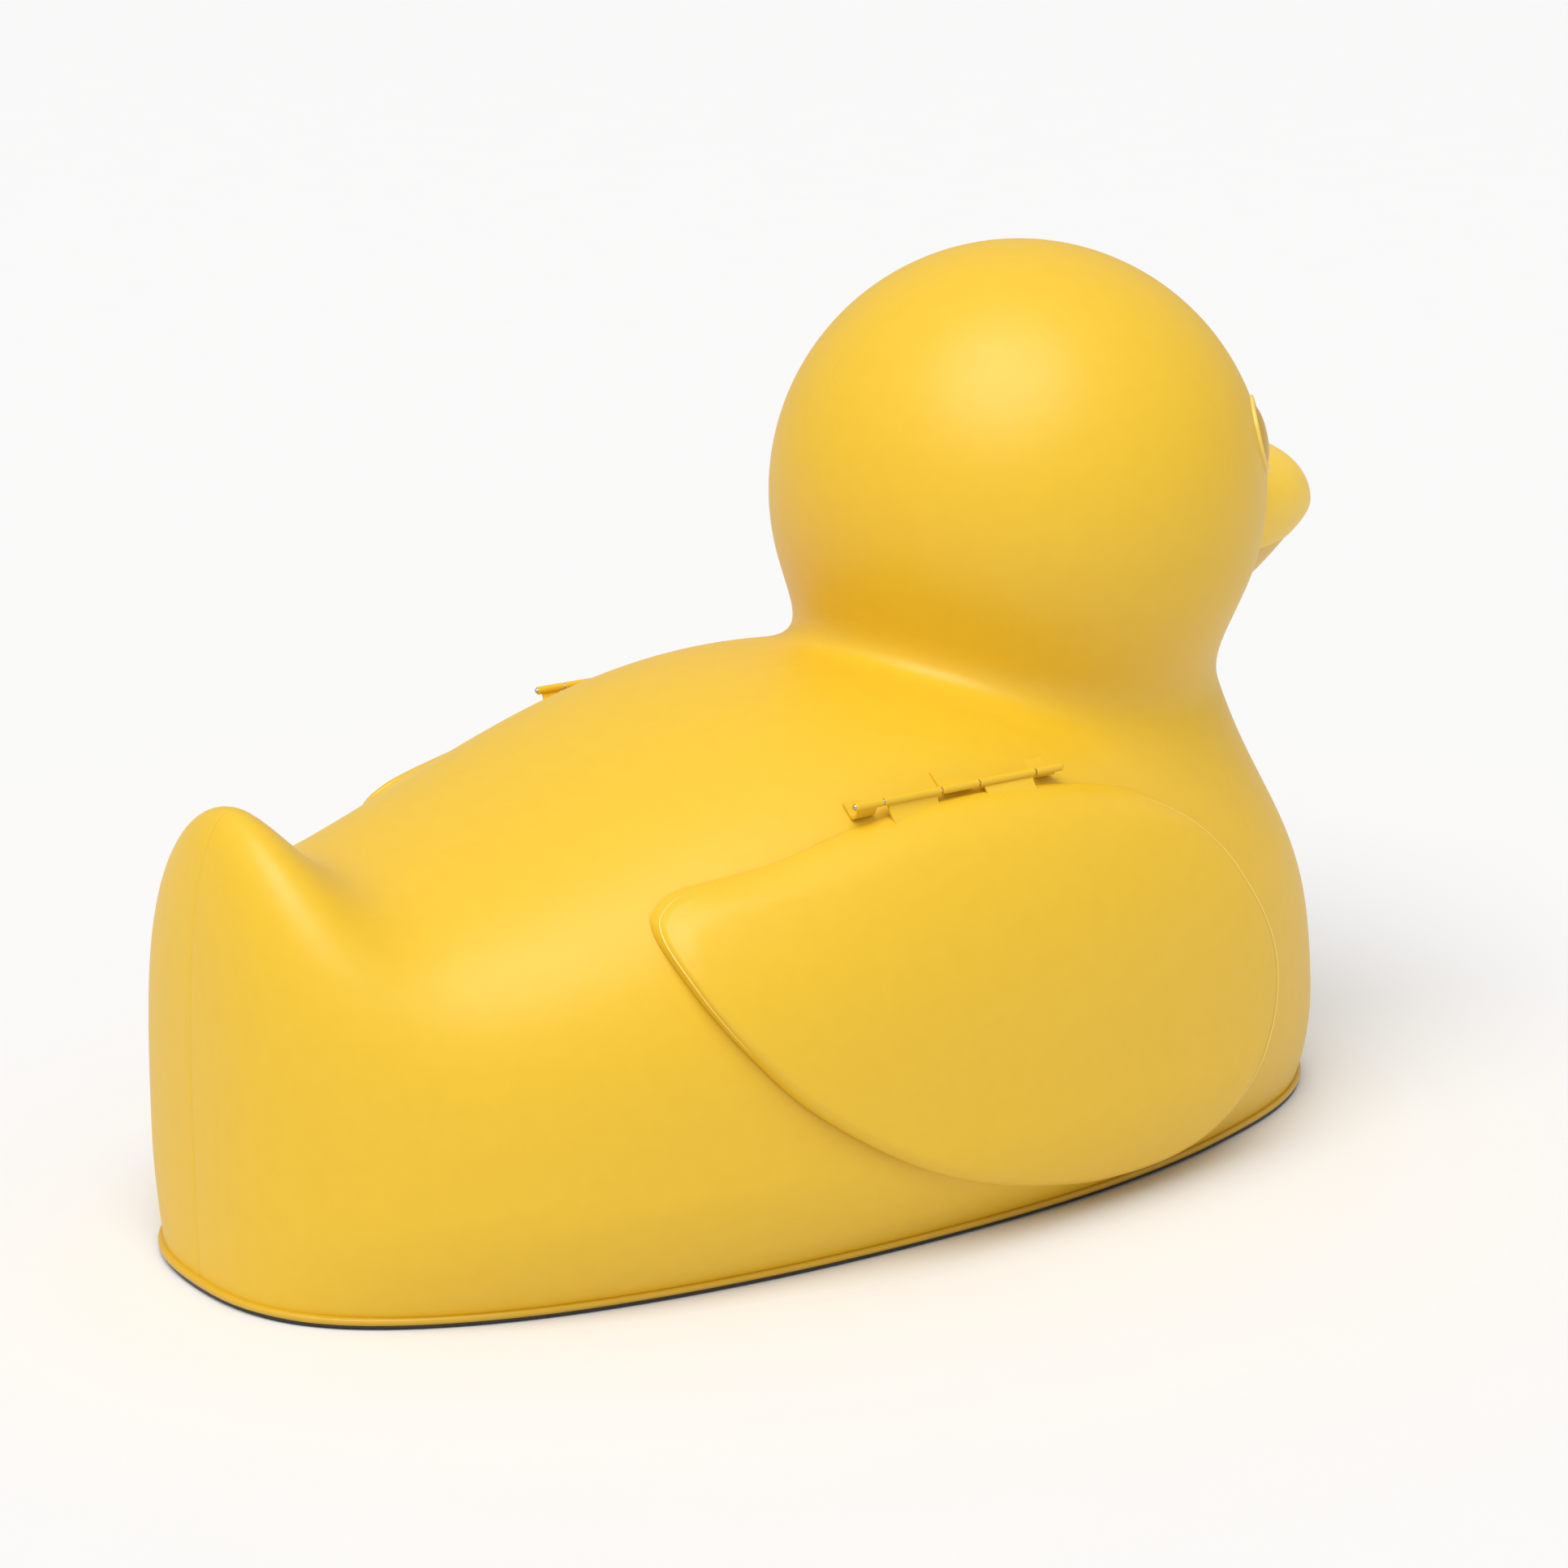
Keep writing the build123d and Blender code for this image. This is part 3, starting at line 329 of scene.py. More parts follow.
# ============================ finishes ======================================
def colour(code):
    """sRGB hex to linear."""
    c = np.array([int(code[i:i + 2], 16) for i in (1, 3, 5)]) / 255
    c = np.where(c <= 0.04045, c / 12.92, ((c + 0.055) / 1.055) ** 2.4)
    return (*c, 1.0)


def node(tree, kind, inputs=None, links=None, **settings):
    """Adds a node, sets it and its inputs, and links other nodes' outputs into it."""
    made = tree.nodes.new(kind)
    for key, value in settings.items():
        setattr(made, key, value)
    for key, value in (inputs or {}).items():
        made.inputs[key].default_value = value
    for key, (other, out) in (links or {}).items():
        tree.links.new(other.outputs[out], made.inputs[key])
    return made


def finish(name, light, dark, grain, bump, **shader):
    """Moulded or worked surface: two close tones mixed by noise of the grain size in metres, and a bump from
    finer noise. The bump is its grain size, its strength and its height in metres."""
    made = bpy.data.materials.new(name)
    made.use_nodes = True
    tree = made.node_tree
    tree.nodes.clear()
    place = node(tree, "ShaderNodeTexCoord")
    tone = node(tree, "ShaderNodeTexNoise", {"Scale": 1 / grain, "Detail": 4, "Roughness": 0.6},
                {"Vector": (place, "Object")})
    mix = node(tree, "ShaderNodeMix", None, {"Factor": (tone, "Fac")}, data_type="RGBA")
    mix.inputs[6].default_value, mix.inputs[7].default_value = colour(dark), colour(light)
    fine = node(tree, "ShaderNodeTexNoise", {"Scale": 1 / bump[0], "Detail": 2}, {"Vector": (place, "Object")})
    raise_ = node(tree, "ShaderNodeBump", {"Strength": bump[1], "Distance": bump[2]}, {"Height": (fine, "Fac")})
    main = node(tree, "ShaderNodeBsdfPrincipled", shader, {"Normal": (raise_, "Normal")})
    tree.links.new(mix.outputs[2], main.inputs["Base Color"])
    node(tree, "ShaderNodeOutputMaterial", None, {"Surface": (main, "BSDF")})
    return made


PLAIN = bpy.data.materials.new("cutting")
# Rotomoulded polyethylene cools slowly against the mould: a satin, even warm yellow, faintly cloudy, with a
# fine orange peel that softens every highlight.
SHELL = finish("moulded yellow polyethylene", "#E6BB28", "#E0B522", 0.05, (0.004, 0.12, 0.0004),
               Roughness=0.44, IOR=1.5)
# The same plastic along the base: glossier than the moulded face, and darker as painted shade low on the body.
SHADED_LIP = finish("yellow polyethylene darkened as painted shade", "#D3A928", "#CBA122", 0.04, (0.003, 0.1, 0.0003),
             Roughness=0.38, IOR=1.5)
# A separate moulding: a lighter, fuller yellow than the head, which is painted light on the bill.
BILL_PAINTED_LIGHT = finish("yellow polyethylene lightened as painted light", "#F6CD38", "#F0C430", 0.04, (0.004, 0.12, 0.0004),
              Roughness=0.42, IOR=1.5)
# Paler and browner, with a duller face: the paler tan is painted light on the lower bill.
BILL_LOW_PAINTED_LIGHT = finish("tan yellow polyethylene with painted light", "#E3BC4C", "#DBB344", 0.04, (0.004, 0.12, 0.0004),
                  Roughness=0.46, IOR=1.5)
# The same plastic, pale and shiny: a painted highlight, a thin light line along edges and rims.
EDGE_HIGHLIGHT = finish("yellow polyethylene with painted edge highlight", "#EFCF6A", "#E8C65C", 0.02, (0.003, 0.08, 0.0002),
             Roughness=0.3, IOR=1.5)
# Moulded in a smoother tool, for a clearer highlight: olive yellow, darker as painted shade on the eye.
EYE_PAINTED_SHADE = finish("olive yellow polyethylene darkened as painted shade", "#D3A61B", "#BF9418", 0.06, (0.004, 0.1, 0.0003),
             Roughness=0.36, IOR=1.5)
# Extruded rubber, near black and dull with a slightly dusty grain; its near black is also painted shadow.
STRIP_AND_SHADOW = finish("black rubber strip and painted shadow", "#2C2B22", "#1E1D17", 0.01, (0.002, 0.3, 0.0004), Roughness=0.8)
# Extruded edging: mid grey, dull, with a drawn grain.
TRIM = finish("grey rubber edging", "#4A4A47", "#3C3C3A", 0.01, (0.002, 0.3, 0.0003), Roughness=0.7)
# Moulded against a grit tool: a rough non-slip grey that hardly shines.
DECK = finish("grey grit moulded deck", "#8F9496", "#7D8284", 0.006, (0.0025, 0.7, 0.0012), Roughness=0.75)
# Steam-moulded beads 5 mm across: off-white and pebbled.
FOAM = finish("white bead foam", "#EFEDE6", "#DCD9CF", 0.005, (0.005, 0.6, 0.0012), Roughness=0.9)
# Injection moulded with a light texture: pale grey, satin.
CONSOLE = finish("grey moulded plastic", "#C2C6C8", "#B6BABC", 0.03, (0.003, 0.25, 0.0004), Roughness=0.45)
# Blow moulded with a light texture: strong blue, satin.
SEAT = finish("blue moulded plastic", "#35659A", "#2C5785", 0.03, (0.003, 0.25, 0.0004), Roughness=0.42)
# Cast nylon: a warm white with a waxy sheen.
WHEEL = finish("white moulded nylon", "#E9E9E2", "#DCDCD4", 0.03, (0.003, 0.2, 0.0004), Roughness=0.4)
# Glass fibres at the surface break up the gloss: charcoal, slightly speckled.
NYLON = finish("black glass-filled nylon", "#2E3032", "#242628", 0.004, (0.0015, 0.35, 0.0002), Roughness=0.55)
# Brushed on a belt: bright, with highlights softened by fine scratches, drawn coarser than they are to show.
STEEL = finish("brushed stainless steel", "#C9CBCD", "#B2B5B7", 0.002, (0.0008, 0.25, 0.00008),
               Roughness=0.3, Metallic=1.0)
# Etched and anodised: a pale even metal, duller than steel.
ALLOY = finish("anodised aluminium", "#D2D5D7", "#C2C5C8", 0.003, (0.001, 0.15, 0.00006),
               Roughness=0.36, Metallic=1.0)


def two_tone(name, height, above, below):
    """Yellow pan with a painted shadow on its foot: the colour steps from one to the other at a height."""
    made = above.copy()
    made.name = name
    tree = made.node_tree
    main = next(n for n in tree.nodes if n.type == "BSDF_PRINCIPLED")
    old = main.inputs["Base Color"].links[0].from_socket
    place = node(tree, "ShaderNodeTexCoord")
    parts = node(tree, "ShaderNodeSeparateXYZ", None, {"Vector": (place, "Object")})
    step = node(tree, "ShaderNodeMath", {1: height}, {0: (parts, "Z")}, operation="GREATER_THAN")
    mix = node(tree, "ShaderNodeMix", None, {"Factor": (step, "Value")}, data_type="RGBA")
    mix.inputs[6].default_value = colour(below)
    tree.links.new(old, mix.inputs[7])
    tree.links.new(mix.outputs[2], main.inputs["Base Color"])
    return made


# Top of the near-black band on the pan's foot: a painted shadow under the base lip.
FOOT_TOP = 0.0125
PAN_PAINTED_SHADOW = two_tone("shaded yellow pan with painted shadow at the foot", FOOT_TOP, SHADED_LIP, "#24231B")
# base_strip and the hull_pan foot are near black as painted shadow under the base lip.
CAD_FINISH = {
    "base_strip": STRIP_AND_SHADOW, "hull_pan": PAN_PAINTED_SHADOW, "door_trim": TRIM, "lookout_trim": TRIM, "floor": DECK, "foam": FOAM,
    "console": CONSOLE, "seat_base": CONSOLE, "seat_rails": ALLOY, "paddle": WHEEL, "rudder": WHEEL,
    "rudder_arm": ALLOY, "rudder_bush": NYLON, "bearing": NYLON, "bearing_bolts": STEEL, "pedal": NYLON,
    "column": NYLON, "steering_column": STEEL, "tiller_handle": NYLON, "connecting_rod": ALLOY,
    "door_latch": NYLON, "crankshaft": STEEL, "wheel_pin": STEEL, "rod_pin": STEEL,
    "neck_bolts": STEEL, "neck_ring": ALLOY, "mooring_eye": STEEL, "drain_plug": NYLON, "seat": SEAT,
}


# ============================ the moulded skin ==============================
def spread_angles(count):
    """Half turn from bow to stern, closer together at the stern, with a fine pair beside the centre plane."""
    t = np.linspace(0, 1, count)
    a = np.pi * (1 - (1 - t) ** 1.3)
    return np.concatenate([a[:-1], [np.pi - 0.0022, np.pi - 0.0008, np.pi]])


def seam(p):
    """Moulding seam down the stern: the outermost points on the centre plane sink a little."""
    depth = 0.0016 * np.clip((-p[..., 0] - 1.40) / 0.1, 0, 1) * (np.abs(p[..., 1]) < 0.003)
    return p - slope(p) * depth[..., None]


def half_shell(name, outer, inner, side, replaced):
    """Closed wall between an outer and an inner half skin, mirrored to its side."""
    flip = np.array((1, side, 1))
    outer, inner = outer * flip, inner * flip
    loop = np.concatenate([outer, inner[:, ::-1]], axis=1)
    grids = [(loop, False, True)]
    for end in (0, -1):
        grids.append((np.stack([outer[end], inner[end]]), False, False))
    obj = piece(name, grids, SHELL, "hull", sharp=50)
    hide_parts(replaced)
    return obj


def moulding():
    """Body and head skins, a port and a starboard half each, with the doorways and the bow opening cut out."""
    count, rows = ((150, 200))
    angle = spread_angles(count)
    outer = seam(meridians(angle, 0.0, rows))
    inner = meridians(angle, -WALL, rows)
    top, lining = crown(angle, 0.0, 90), crown(angle, -WALL, 90)
    for side, word in ((1, "port"), (-1, "starboard")):
        half = half_shell(f"body_skin_{word}", outer, inner, side, f"shell_{word}")
        door = prism(rounded(APERTURE, APERTURE_R), "xz", side * 0.3, side * 1.1)
        wide, low, high = LOOKOUT
        corners = ((-wide, low), (wide, low), (wide, high), (-wide, high))
        bow = prism(rounded(corners, LOOKOUT_R), "yz", 1.0, 1.8)
        carve(half, [door, bow])
        half_shell(f"head_skin_{word}", top, lining, side, f"head_{word}")


def neck_flanges():
    """Bolted rings where the head stands on the body: a flat rectangle turned round the neck's axis."""
    thick, inside, outside = 0.012, 0.500, 0.552
    for name, z0 in (("neck_flange_low", NECK_CUT - thick), ("neck_flange_high", NECK_CUT)):
        profile = [(inside, z0), (outside, z0), (outside, z0 + thick), (inside, z0 + thick)]
        ring = piece(name, [(revolve(profile, (HEAD_X, 0, 0), (0, 0, 1), 128), True, True)], SHELL, "hull")


def base_lip():
    """Rounded lip round the base: a half-round bead carried along the outline of the pan."""
    count, height, stand = 360, 0.015, 0.012
    angle = np.arange(count) * 2 * np.pi / count
    folded = np.where(angle > np.pi, 2 * np.pi - angle, angle)
    r = root(lambda q: skin(polar(folded, q, height)) - stand, np.full(count, 0.2), np.full(count, 2.9))
    path = polar(angle, r, np.zeros(count))
    ahead = np.roll(path, -1, 0) - np.roll(path, 1, 0)
    out = np.cross(ahead, (0, 0, 1.0))
    out /= np.linalg.norm(out, axis=1, keepdims=True)
    t = np.linspace(-np.pi / 2, np.pi / 2, 11)
    mid, half, root_at, nose = 0.0208, 0.0082, -0.030, 0.0085
    across = np.concatenate([[root_at], -0.0045 + nose * np.cos(t) ** 0.8, [root_at]])
    rise = np.concatenate([[mid - half], mid + half * np.sin(t), [mid + half]])
    grid = path[:, None] + out[:, None] * across[None, :, None] + np.array((0, 0, 1)) * rise[None, :, None]
    # The bead's darker yellow is painted shade low on the body.
    bead = piece("base_lip_bead", [(grid, True, True)], SHADED_LIP, "hull", sharp=60)


# ============================ wings =========================================
def wing(side, word):
    """Wing door: rings of the outline drawn in to its middle. Thickness over the skin rises from the edge as a
    quarter ellipse, wider along the top than along the bottom, with a bell-shaped lip beside the front and tip
    edges. The back follows the skin."""
    around = 300
    outline = spline(WING, around)
    outline[:, 0] -= 0.022 * np.clip((outline[:, 0] - 0.60) / 0.30, 0, 1)
    middle = np.array(WING_MIDDLE)
    reach = np.linalg.norm(outline - middle, axis=1)
    near = [0, 0.003, 0.007, 0.012, 0.018, 0.025, 0.033, 0.042, 0.053, 0.066, 0.082, 0.10, 0.13]
    inward = np.concatenate([near, np.linspace(0.17, 0.97, 14), [1.0]])
    band = 0.13
    inner = band + (inward[None] - band) / (1 - band) * (reach[:, None] - band)
    depth = np.minimum(np.where(inward[None] <= band, inward[None], inner), reach[:, None])
    flat = outline[:, None] + (middle - outline)[:, None] * (depth / reach[:, None])[..., None]
    upper = np.clip((outline[:, 1] - 0.80) / 0.2, 0, 1) * np.clip((0.75 - outline[:, 0]) / 0.3, 0, 1)
    soft = 0.036 + 0.060 * upper
    edge = 0.016 - 0.006 * upper
    rise = np.sqrt(1 - (1 - np.clip(depth / soft[:, None], 0, 1)) ** 2)
    high = edge[:, None] + (WING_OUT - edge[:, None]) * rise
    front = np.clip((outline[:, 0] - 0.52) / 0.2, 0, 1) * np.clip((outline[:, 1] - 0.12) / 0.15, 0, 1)
    tip = np.clip((-0.72 - outline[:, 0]) / 0.08, 0, 1)
    lip = EDGE_LIP * np.maximum(front, tip)
    high += lip[:, None] * np.exp(-(((depth - LIP_AT) / LIP_WIDE) ** 2))
    rim = np.array((0.15, 0.5, 0.85))
    lift = np.concatenate([WING_IN + (edge - WING_IN)[:, None] * rim, high], 1)
    back_flat = flat[:, ::-1]
    flat = np.concatenate([np.repeat(flat[:, :1], len(rim), 1), flat], 1)
    face = on_side(flat, lift, side)
    back = on_side(back_flat, np.full(back_flat.shape[:2], WING_IN), side)
    loop = np.concatenate([back, face], 1)
    door = piece(f"wing_{word}", [(loop, True, False)], SHELL, f"wing_door_{word}", sharp=70)
    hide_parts(f"wing_door_{word}")
    for i, x in enumerate(DOOR_KNUCKLES):
        leaves(f"wing_{word}_{i + 1}", x, 0.085, side, (1.105, 1.02), f"wing_door_{word}")
    for i, (x, half) in enumerate(HULL_KNUCKLES):
        made = leaves(f"hull_{word}_{i + 1}", x, half, side, (0.696, 0.635), "hull")
        if i == 1:
            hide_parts(f"door_hinge_{word}")
    hinge_pin(side, word)
    for part, span, inset in (("front", slice(18, 128), 0.010), ("tip", slice(184, 236), 0.003)):
        line = outline + (middle - outline) * (inset / reach)[:, None]
        top = edge + (WING_OUT - edge) * np.sqrt(1 - (1 - inset / soft) ** 2)
        top += lip * np.exp(-(((inset - LIP_AT) / LIP_WIDE) ** 2)) - 0.0005
        wing_edge(f"wing_edge_{part}_{word}", line[span], top[span], side, word)


def wing_edge(name, flat, level, side, word):
    """Painted highlight line of a wing: a thin pale tube along the crest of the door's edge, its radius a power
    of the sine of the run, so that it closes to a point at both ends."""
    path = on_side(flat, level, 1)
    ahead = np.gradient(path, axis=0)
    ahead /= np.linalg.norm(ahead, axis=1, keepdims=True)
    out = slope(path)
    across = np.cross(ahead, out)
    thick = LINE_R * np.sin(np.pi * np.linspace(0, 1, len(flat))).clip(0) ** 0.4
    t = np.arange(12) * np.pi / 6
    ring = np.cos(t)[None, :, None] * out[:, None] + np.sin(t)[None, :, None] * across[:, None]
    grid = (path[:, None] + thick[:, None, None] * ring) * np.array((1, side, 1))
    # The pale line is a painted highlight.
    line = piece(name, [(grid, False, True)], EDGE_HIGHLIGHT, f"wing_door_{word}", sharp=80)


def hinge_pin(side, word):
    """Pin through the five knuckles: a cylinder along the hinge line with its end edges taken off."""
    half, edge = PIN_HALF, 0.0015
    profile = [(0.0, -half), (PIN_R - edge, -half), (PIN_R, edge - half),
               (PIN_R, half - edge), (PIN_R - edge, half), (0.0, half)]
    grid = revolve(profile, (0, side * HINGE_Y, HINGE_Z), (1, 0, 0), 40)
    pin = piece(f"hinge_pin_{word}_form", [(grid, True, False)], STEEL, "hull", sharp=60)


def leaves(name, x, half, side, z, body):
    """One hinge knuckle turned round the pin, and the strap from it over the skin. Returns the knuckle."""
    r, edge = KNUCKLE_R, KNUCKLE_EDGE
    profile = [(KNUCKLE_BORE, -half), (r - edge, -half), (r, edge - half),
               (r, half - edge), (r - edge, half), (KNUCKLE_BORE, half)]
    tube = revolve(profile, (x, side * HINGE_Y, HINGE_Z), (1, 0, 0), 40)
    knuckle = piece(f"knuckle_{name}", [(tube, True, True)], SHELL, body)
    strap = hinge_strap(x, side, half - 0.012, z)
    n = strap.shape[1]
    last = n * (strap.shape[0] - 1)
    leaf = piece(f"strap_{name}", [(strap, False, True)], SHELL, body, fill=[range(n), range(last, last + n)])
    return knuckle


def on_side(flat, level, side):
    """Points on the side of the skin at each (x, z), moved outwards to a level."""
    x, z = flat[..., 0], flat[..., 1]
    y = root(lambda q: skin(np.stack([x, q, z], -1)) - level, np.full(x.shape, 0.15), np.full(x.shape, 1.25))
    return np.stack([x, side * y, z], -1)


def hinge_strap(x, side, wide, reach):
    """Strap from a knuckle over the skin: a thin rectangle whose middle line runs from the pin's edge, by a
    smooth step, to a level just over the skin: downwards on the door, inwards over the back on the hull."""
    rows, half = 9, STRAP_HALF
    along = np.linspace(*reach, rows)
    t = np.clip(1 - np.abs(along - reach[0]) / 0.03, 0, 1)[:, None]
    t = t * t * (3 - 2 * t)
    station = np.full(rows, x)
    if reach[0] > HINGE_Y:
        middle = on_side(np.stack([station, np.minimum(along, 1.085)], -1), np.full(rows, 0.016), 1)
        edge = np.array((x, HINGE_Y, HINGE_Z - 0.006))
        ring = np.array(((-wide, -half, 0), (wide, -half, 0), (wide, half, 0), (-wide, half, 0)))
    else:
        top = root(
            lambda q: skin(np.stack([station, along, q], -1)) - 0.001, np.full(rows, 0.6), np.full(rows, 1.6)
        )
        middle = np.stack([station, along, top], -1)
        edge = np.array((x, reach[0], HINGE_Z - 0.004))
        ring = np.array(((-wide, 0, -half), (wide, 0, -half), (wide, 0, half), (-wide, 0, half)))
    middle = middle * (1 - t) + edge * t
    return (middle[:, None] + ring[None]) * np.array((1, side, 1))


# ============================ face ==========================================
def bill_section(x, angle):
    """Ring of the bill at station x: half width by a root of 1 - s^n, height above the middle line by another,
    and below it falling almost straight from the root to the tip."""
    s = np.clip((x - BILL_ROOT) / (BILL_TIP - BILL_ROOT), 0, 1)
    wide = BILL_HALF * np.sqrt(1 - s**1.49)
    up = BILL_UP * np.sqrt(1 - s**3.03)
    down = BILL_DOWN * (1 - s) ** 0.9 + 0.03 * np.sqrt(1 - s**6)
    middle = BILL_Z - 0.05 * (x - BILL_ROOT)
    high = np.where(np.sin(angle) > 0, up, down) * np.sin(angle)
    return np.stack([x + 0 * angle, wide * np.cos(angle), middle + high], -1), middle, down


def bill():
    """Upper and lower bill, parted along the level mouth line. The lower one is the same form made deeper below
    the line and a little narrower, so that it sits inside the upper."""
    s = np.sin(np.linspace(0, 1, 70) * np.pi / 2)[:, None]
    x = BILL_ROOT + (BILL_TIP - BILL_ROOT) * s
    _, middle, down = bill_section(x, np.zeros((1, 1)))
    cut = np.arcsin(np.clip((middle - MOUTH_Z) / down.clip(1e-4), -1, 1))
    upper, _, _ = bill_section(x, -cut + (np.pi + 2 * cut) * np.linspace(0, 1, 90)[None])
    x2 = x[(cut < 1.5).ravel()]
    cut = cut[(cut < 1.5).ravel()]
    lower, _, _ = bill_section(x2, np.pi + cut + (np.pi - 2 * cut) * np.linspace(0, 1, 70)[None])
    base = np.array((BILL_ROOT, 0, MOUTH_Z))
    lower = base + (lower - base) * np.array((LOWER_LONG, LOWER_WIDE, LOWER_DEEP)) - np.array((0.006, 0, 0))
    # The upper bill's lighter yellow and the lower bill's paler tan are painted light.
    for word, grid, look in (("upper", upper, BILL_PAINTED_LIGHT), ("lower", lower, BILL_LOW_PAINTED_LIGHT)):
        cap = np.broadcast_to(grid[:1].mean(1, keepdims=True), grid[:1].shape)
        end = np.broadcast_to(grid[-1:].mean(1, keepdims=True), grid[-1:].shape)
        rings = np.concatenate([cap, grid, end])
        made = piece(f"bill_{word}_form", [(rings, False, True)], look, "hull", sharp=45)
        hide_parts(f"bill_{word}")


def eye(side, word):
    """Eye: a slim rounded rim standing on the head, a groove, and a ball inside whose height is a power of its
    radius, turned round the eye's axis."""
    aim = EYE_AIM / np.linalg.norm(EYE_AIM) * np.array((1, side, 1))
    t = np.linspace(0, np.pi, 13)
    seat = np.sqrt(HEAD_R * HEAD_R - EYE_R * EYE_R)
    bead = [(EYE_R + RIM_WIDE * math.cos(v), seat + 0.001 + RIM_HIGH * math.sin(v)) for v in t]
    foot = seat - 2 * RIM_HIGH
    rim_profile = [(EYE_R + RIM_WIDE, foot)] + bead + [(EYE_R - RIM_WIDE, foot)]
    # The rim's pale finish is a painted highlight.
    rim = piece(f"eye_rim_{word}_form", [(revolve(rim_profile, (HEAD_X, 0, HEAD_Z), aim, 120), True, True)],
                EDGE_HIGHLIGHT, "hull", sharp=60)
    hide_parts(f"eye_rim_{word}")
    s = np.linspace(0, 1, 28)
    wide = EYE_R - 0.009
    ball_profile = [(wide * v, seat - 0.006 + BALL_HIGH * (1 - v**2.2) ** 0.62) for v in s[::-1]]
    ball_profile = [(0.0, seat - 0.02), (wide, seat - 0.02)] + ball_profile
    # The ball's darker olive yellow is painted shade.
    ball = piece(f"eye_{word}_form", [(revolve(ball_profile, (HEAD_X, 0, HEAD_Z), aim, 120), True, False)],
                 EYE_PAINTED_SHADE, "hull", sharp=60)
    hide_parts(f"eye_{word}")


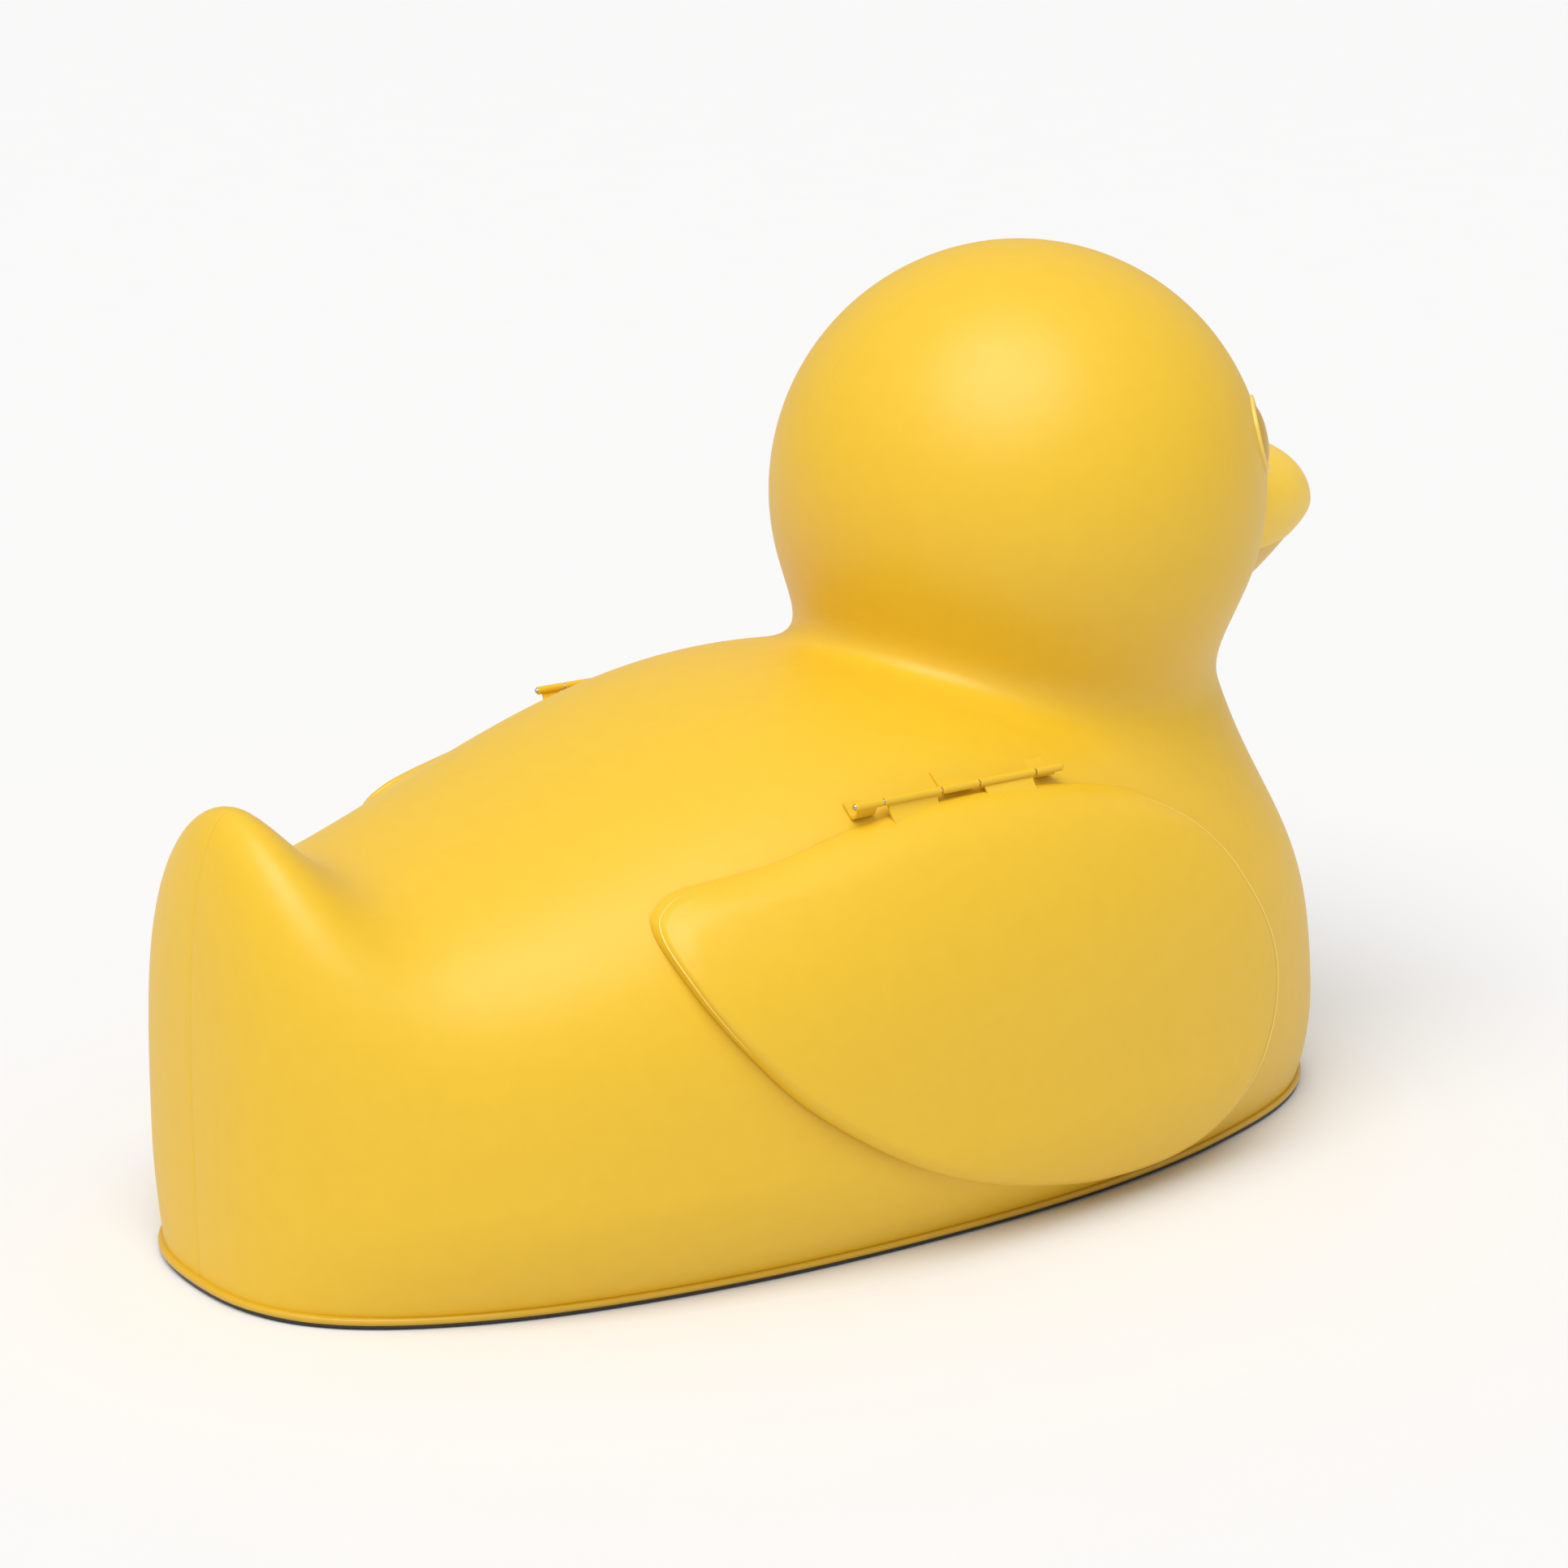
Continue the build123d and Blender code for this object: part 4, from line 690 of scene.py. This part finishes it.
# ============================ cabin =========================================
def seat(side, word):
    """Seat: one moulded sheet carried back along the pan and up the backrest. Each row's half width is a
    twelfth-power superellipse of the run, the middle dips by 1 - v^2 and the edges roll up by v^8, and the under
    face is the same sheet set back by its thickness. Four runners stand under the pan."""
    middle_y, thick = 0.39, 0.012
    s = (1 - np.cos(np.linspace(0, 1, 90) * np.pi)) / 2
    bend = np.array([
        (0.128, 0.292), (0.123, 0.302), (0.09, 0.306), (-0.10, 0.302), (-0.24, 0.302), (-0.30, 0.325),
        (-0.325, 0.40), (-0.345, 0.52), (-0.368, 0.66), (-0.390, 0.765), (-0.402, 0.775),
    ])
    run = np.concatenate([[0], np.cumsum(np.linalg.norm(np.diff(bend, axis=0), axis=1))])
    at = np.linspace(0, run[-1], 400)
    line = np.stack([np.interp(at, run, bend[:, i]) for i in (0, 1)], -1)
    kernel = np.hanning(41) / np.hanning(41).sum()
    padded = np.pad(line, ((20, 20), (0, 0)), "edge")
    line = np.stack([np.convolve(padded[:, i], kernel, "valid") for i in (0, 1)], -1)
    path = np.stack([np.interp(s * run[-1], at, line[:, i]) for i in (0, 1)], -1)
    ahead = np.gradient(path, axis=0)
    ahead /= np.linalg.norm(ahead, axis=1, keepdims=True)
    up = np.stack([ahead[:, 1], -ahead[:, 0]], -1)
    v = np.sin(np.linspace(-np.pi / 2, np.pi / 2, 61))
    half = 0.196 * (1 - np.abs(2 * s - 1) ** 12 * 0.97) ** (1 / 6)
    dish = (-0.014 * (1 - v**2) + 0.016 * v**8)[None] * np.sin(np.pi * s)[:, None] ** 0.5
    faces = []
    for drop in (0.0, -thick):
        lift = dish + drop * (1 - np.abs(v) ** 6)[None]
        x = path[:, :1] + up[:, :1] * lift
        z = path[:, 1:] + up[:, 1:] * lift
        faces.append(np.stack([x, side * middle_y + half[:, None] * v[None], z], -1))
    grids = [(np.concatenate([faces[0], faces[1][:, ::-1]], 1), False, True)]
    for end in (0, -1):
        grids.append((np.stack([faces[0][end], faces[1][end]]), False, False))
    for y in (-0.1265, -0.0935, 0.0935, 0.1265):
        half_bar, foot, top = 0.005, 0.277, 0.294
        ring = ((y - half_bar, foot), (y + half_bar, foot), (y + half_bar, top), (y - half_bar, top))
        bar = np.array([[(x, side * middle_y + a, b) for a, b in ring] for x in (-0.25, -0.25, 0.05, 0.05)])
        bar[0], bar[-1] = bar[1].mean(0), bar[2].mean(0)
        grids.append((bar, False, True))
    made = piece(f"seat_{word}_form", grids, SEAT, f"seat_{word}", sharp=50)
    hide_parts(f"seat_{word}")


# ============================ set ===========================================
def lamp(name, spot, aim, spread, power, tint):
    """Soft light from far off: a sun whose disc is as wide as the spread."""
    data = bpy.data.lights.new(name, "SUN")
    data.angle, data.energy = math.radians(spread), power
    data.color = colour(tint)[:3]
    obj = bpy.data.objects.new(name, data)
    bpy.context.scene.collection.objects.link(obj)
    obj.location = spot
    obj.rotation_euler = (Vector(aim) - Vector(spot)).to_track_quat("-Z", "Y").to_euler()


def stage():
    """Pale floor, soft even light and the camera."""
    # Matt paper: a flat near white that takes soft shadows.
    floor_look = finish("white paper floor", "#E5E5E7", "#E3E3E5", 0.5, (0.02, 0.02, 0.0005), Roughness=0.9)
    span = np.array([[(-40, -40, 0), (-40, 40, 0)], [(40, -40, 0), (40, 40, 0)]], float)
    floor = piece("floor_sheet", [(span, False, False)], floor_look, None)
    world = bpy.data.worlds.new("studio")
    bpy.context.scene.world = world
    world.use_nodes = True
    world.node_tree.nodes["Background"].inputs[0].default_value = colour("#FFFFFF")
    world.node_tree.nodes["Background"].inputs[1].default_value = 0.53
    bpy.context.scene.view_settings.view_transform = "Standard"
    lamp("key", (-3.0, -2.2, 8.0), (0, 0, 1.0), 50, 2.55, "#FFFEFA")
    data = bpy.data.cameras.new("camera")
    data.lens = LENS
    data.sensor_width = 36
    data.clip_end = 200
    obj = bpy.data.objects.new("camera", data)
    bpy.context.scene.collection.objects.link(obj)
    obj.location = CAMERA
    obj.rotation_euler = Vector(AIM).to_track_quat("-Z", "Y").to_euler()
    bpy.context.scene.camera = obj


# ============================ build =========================================
for name, obj in NODES.items():
    key = max((k for k in CAD_FINISH if name.startswith(k)), key=len, default=None)
    look = CAD_FINISH[key] if key else SHELL
    obj.data.materials.clear()
    obj.data.materials.append(look)

moulding()
neck_flanges()
base_lip()
bill()
for side, word in ((1, "port"), (-1, "starboard")):
    wing(side, word)
    eye(side, word)
    seat(side, word)
stage()

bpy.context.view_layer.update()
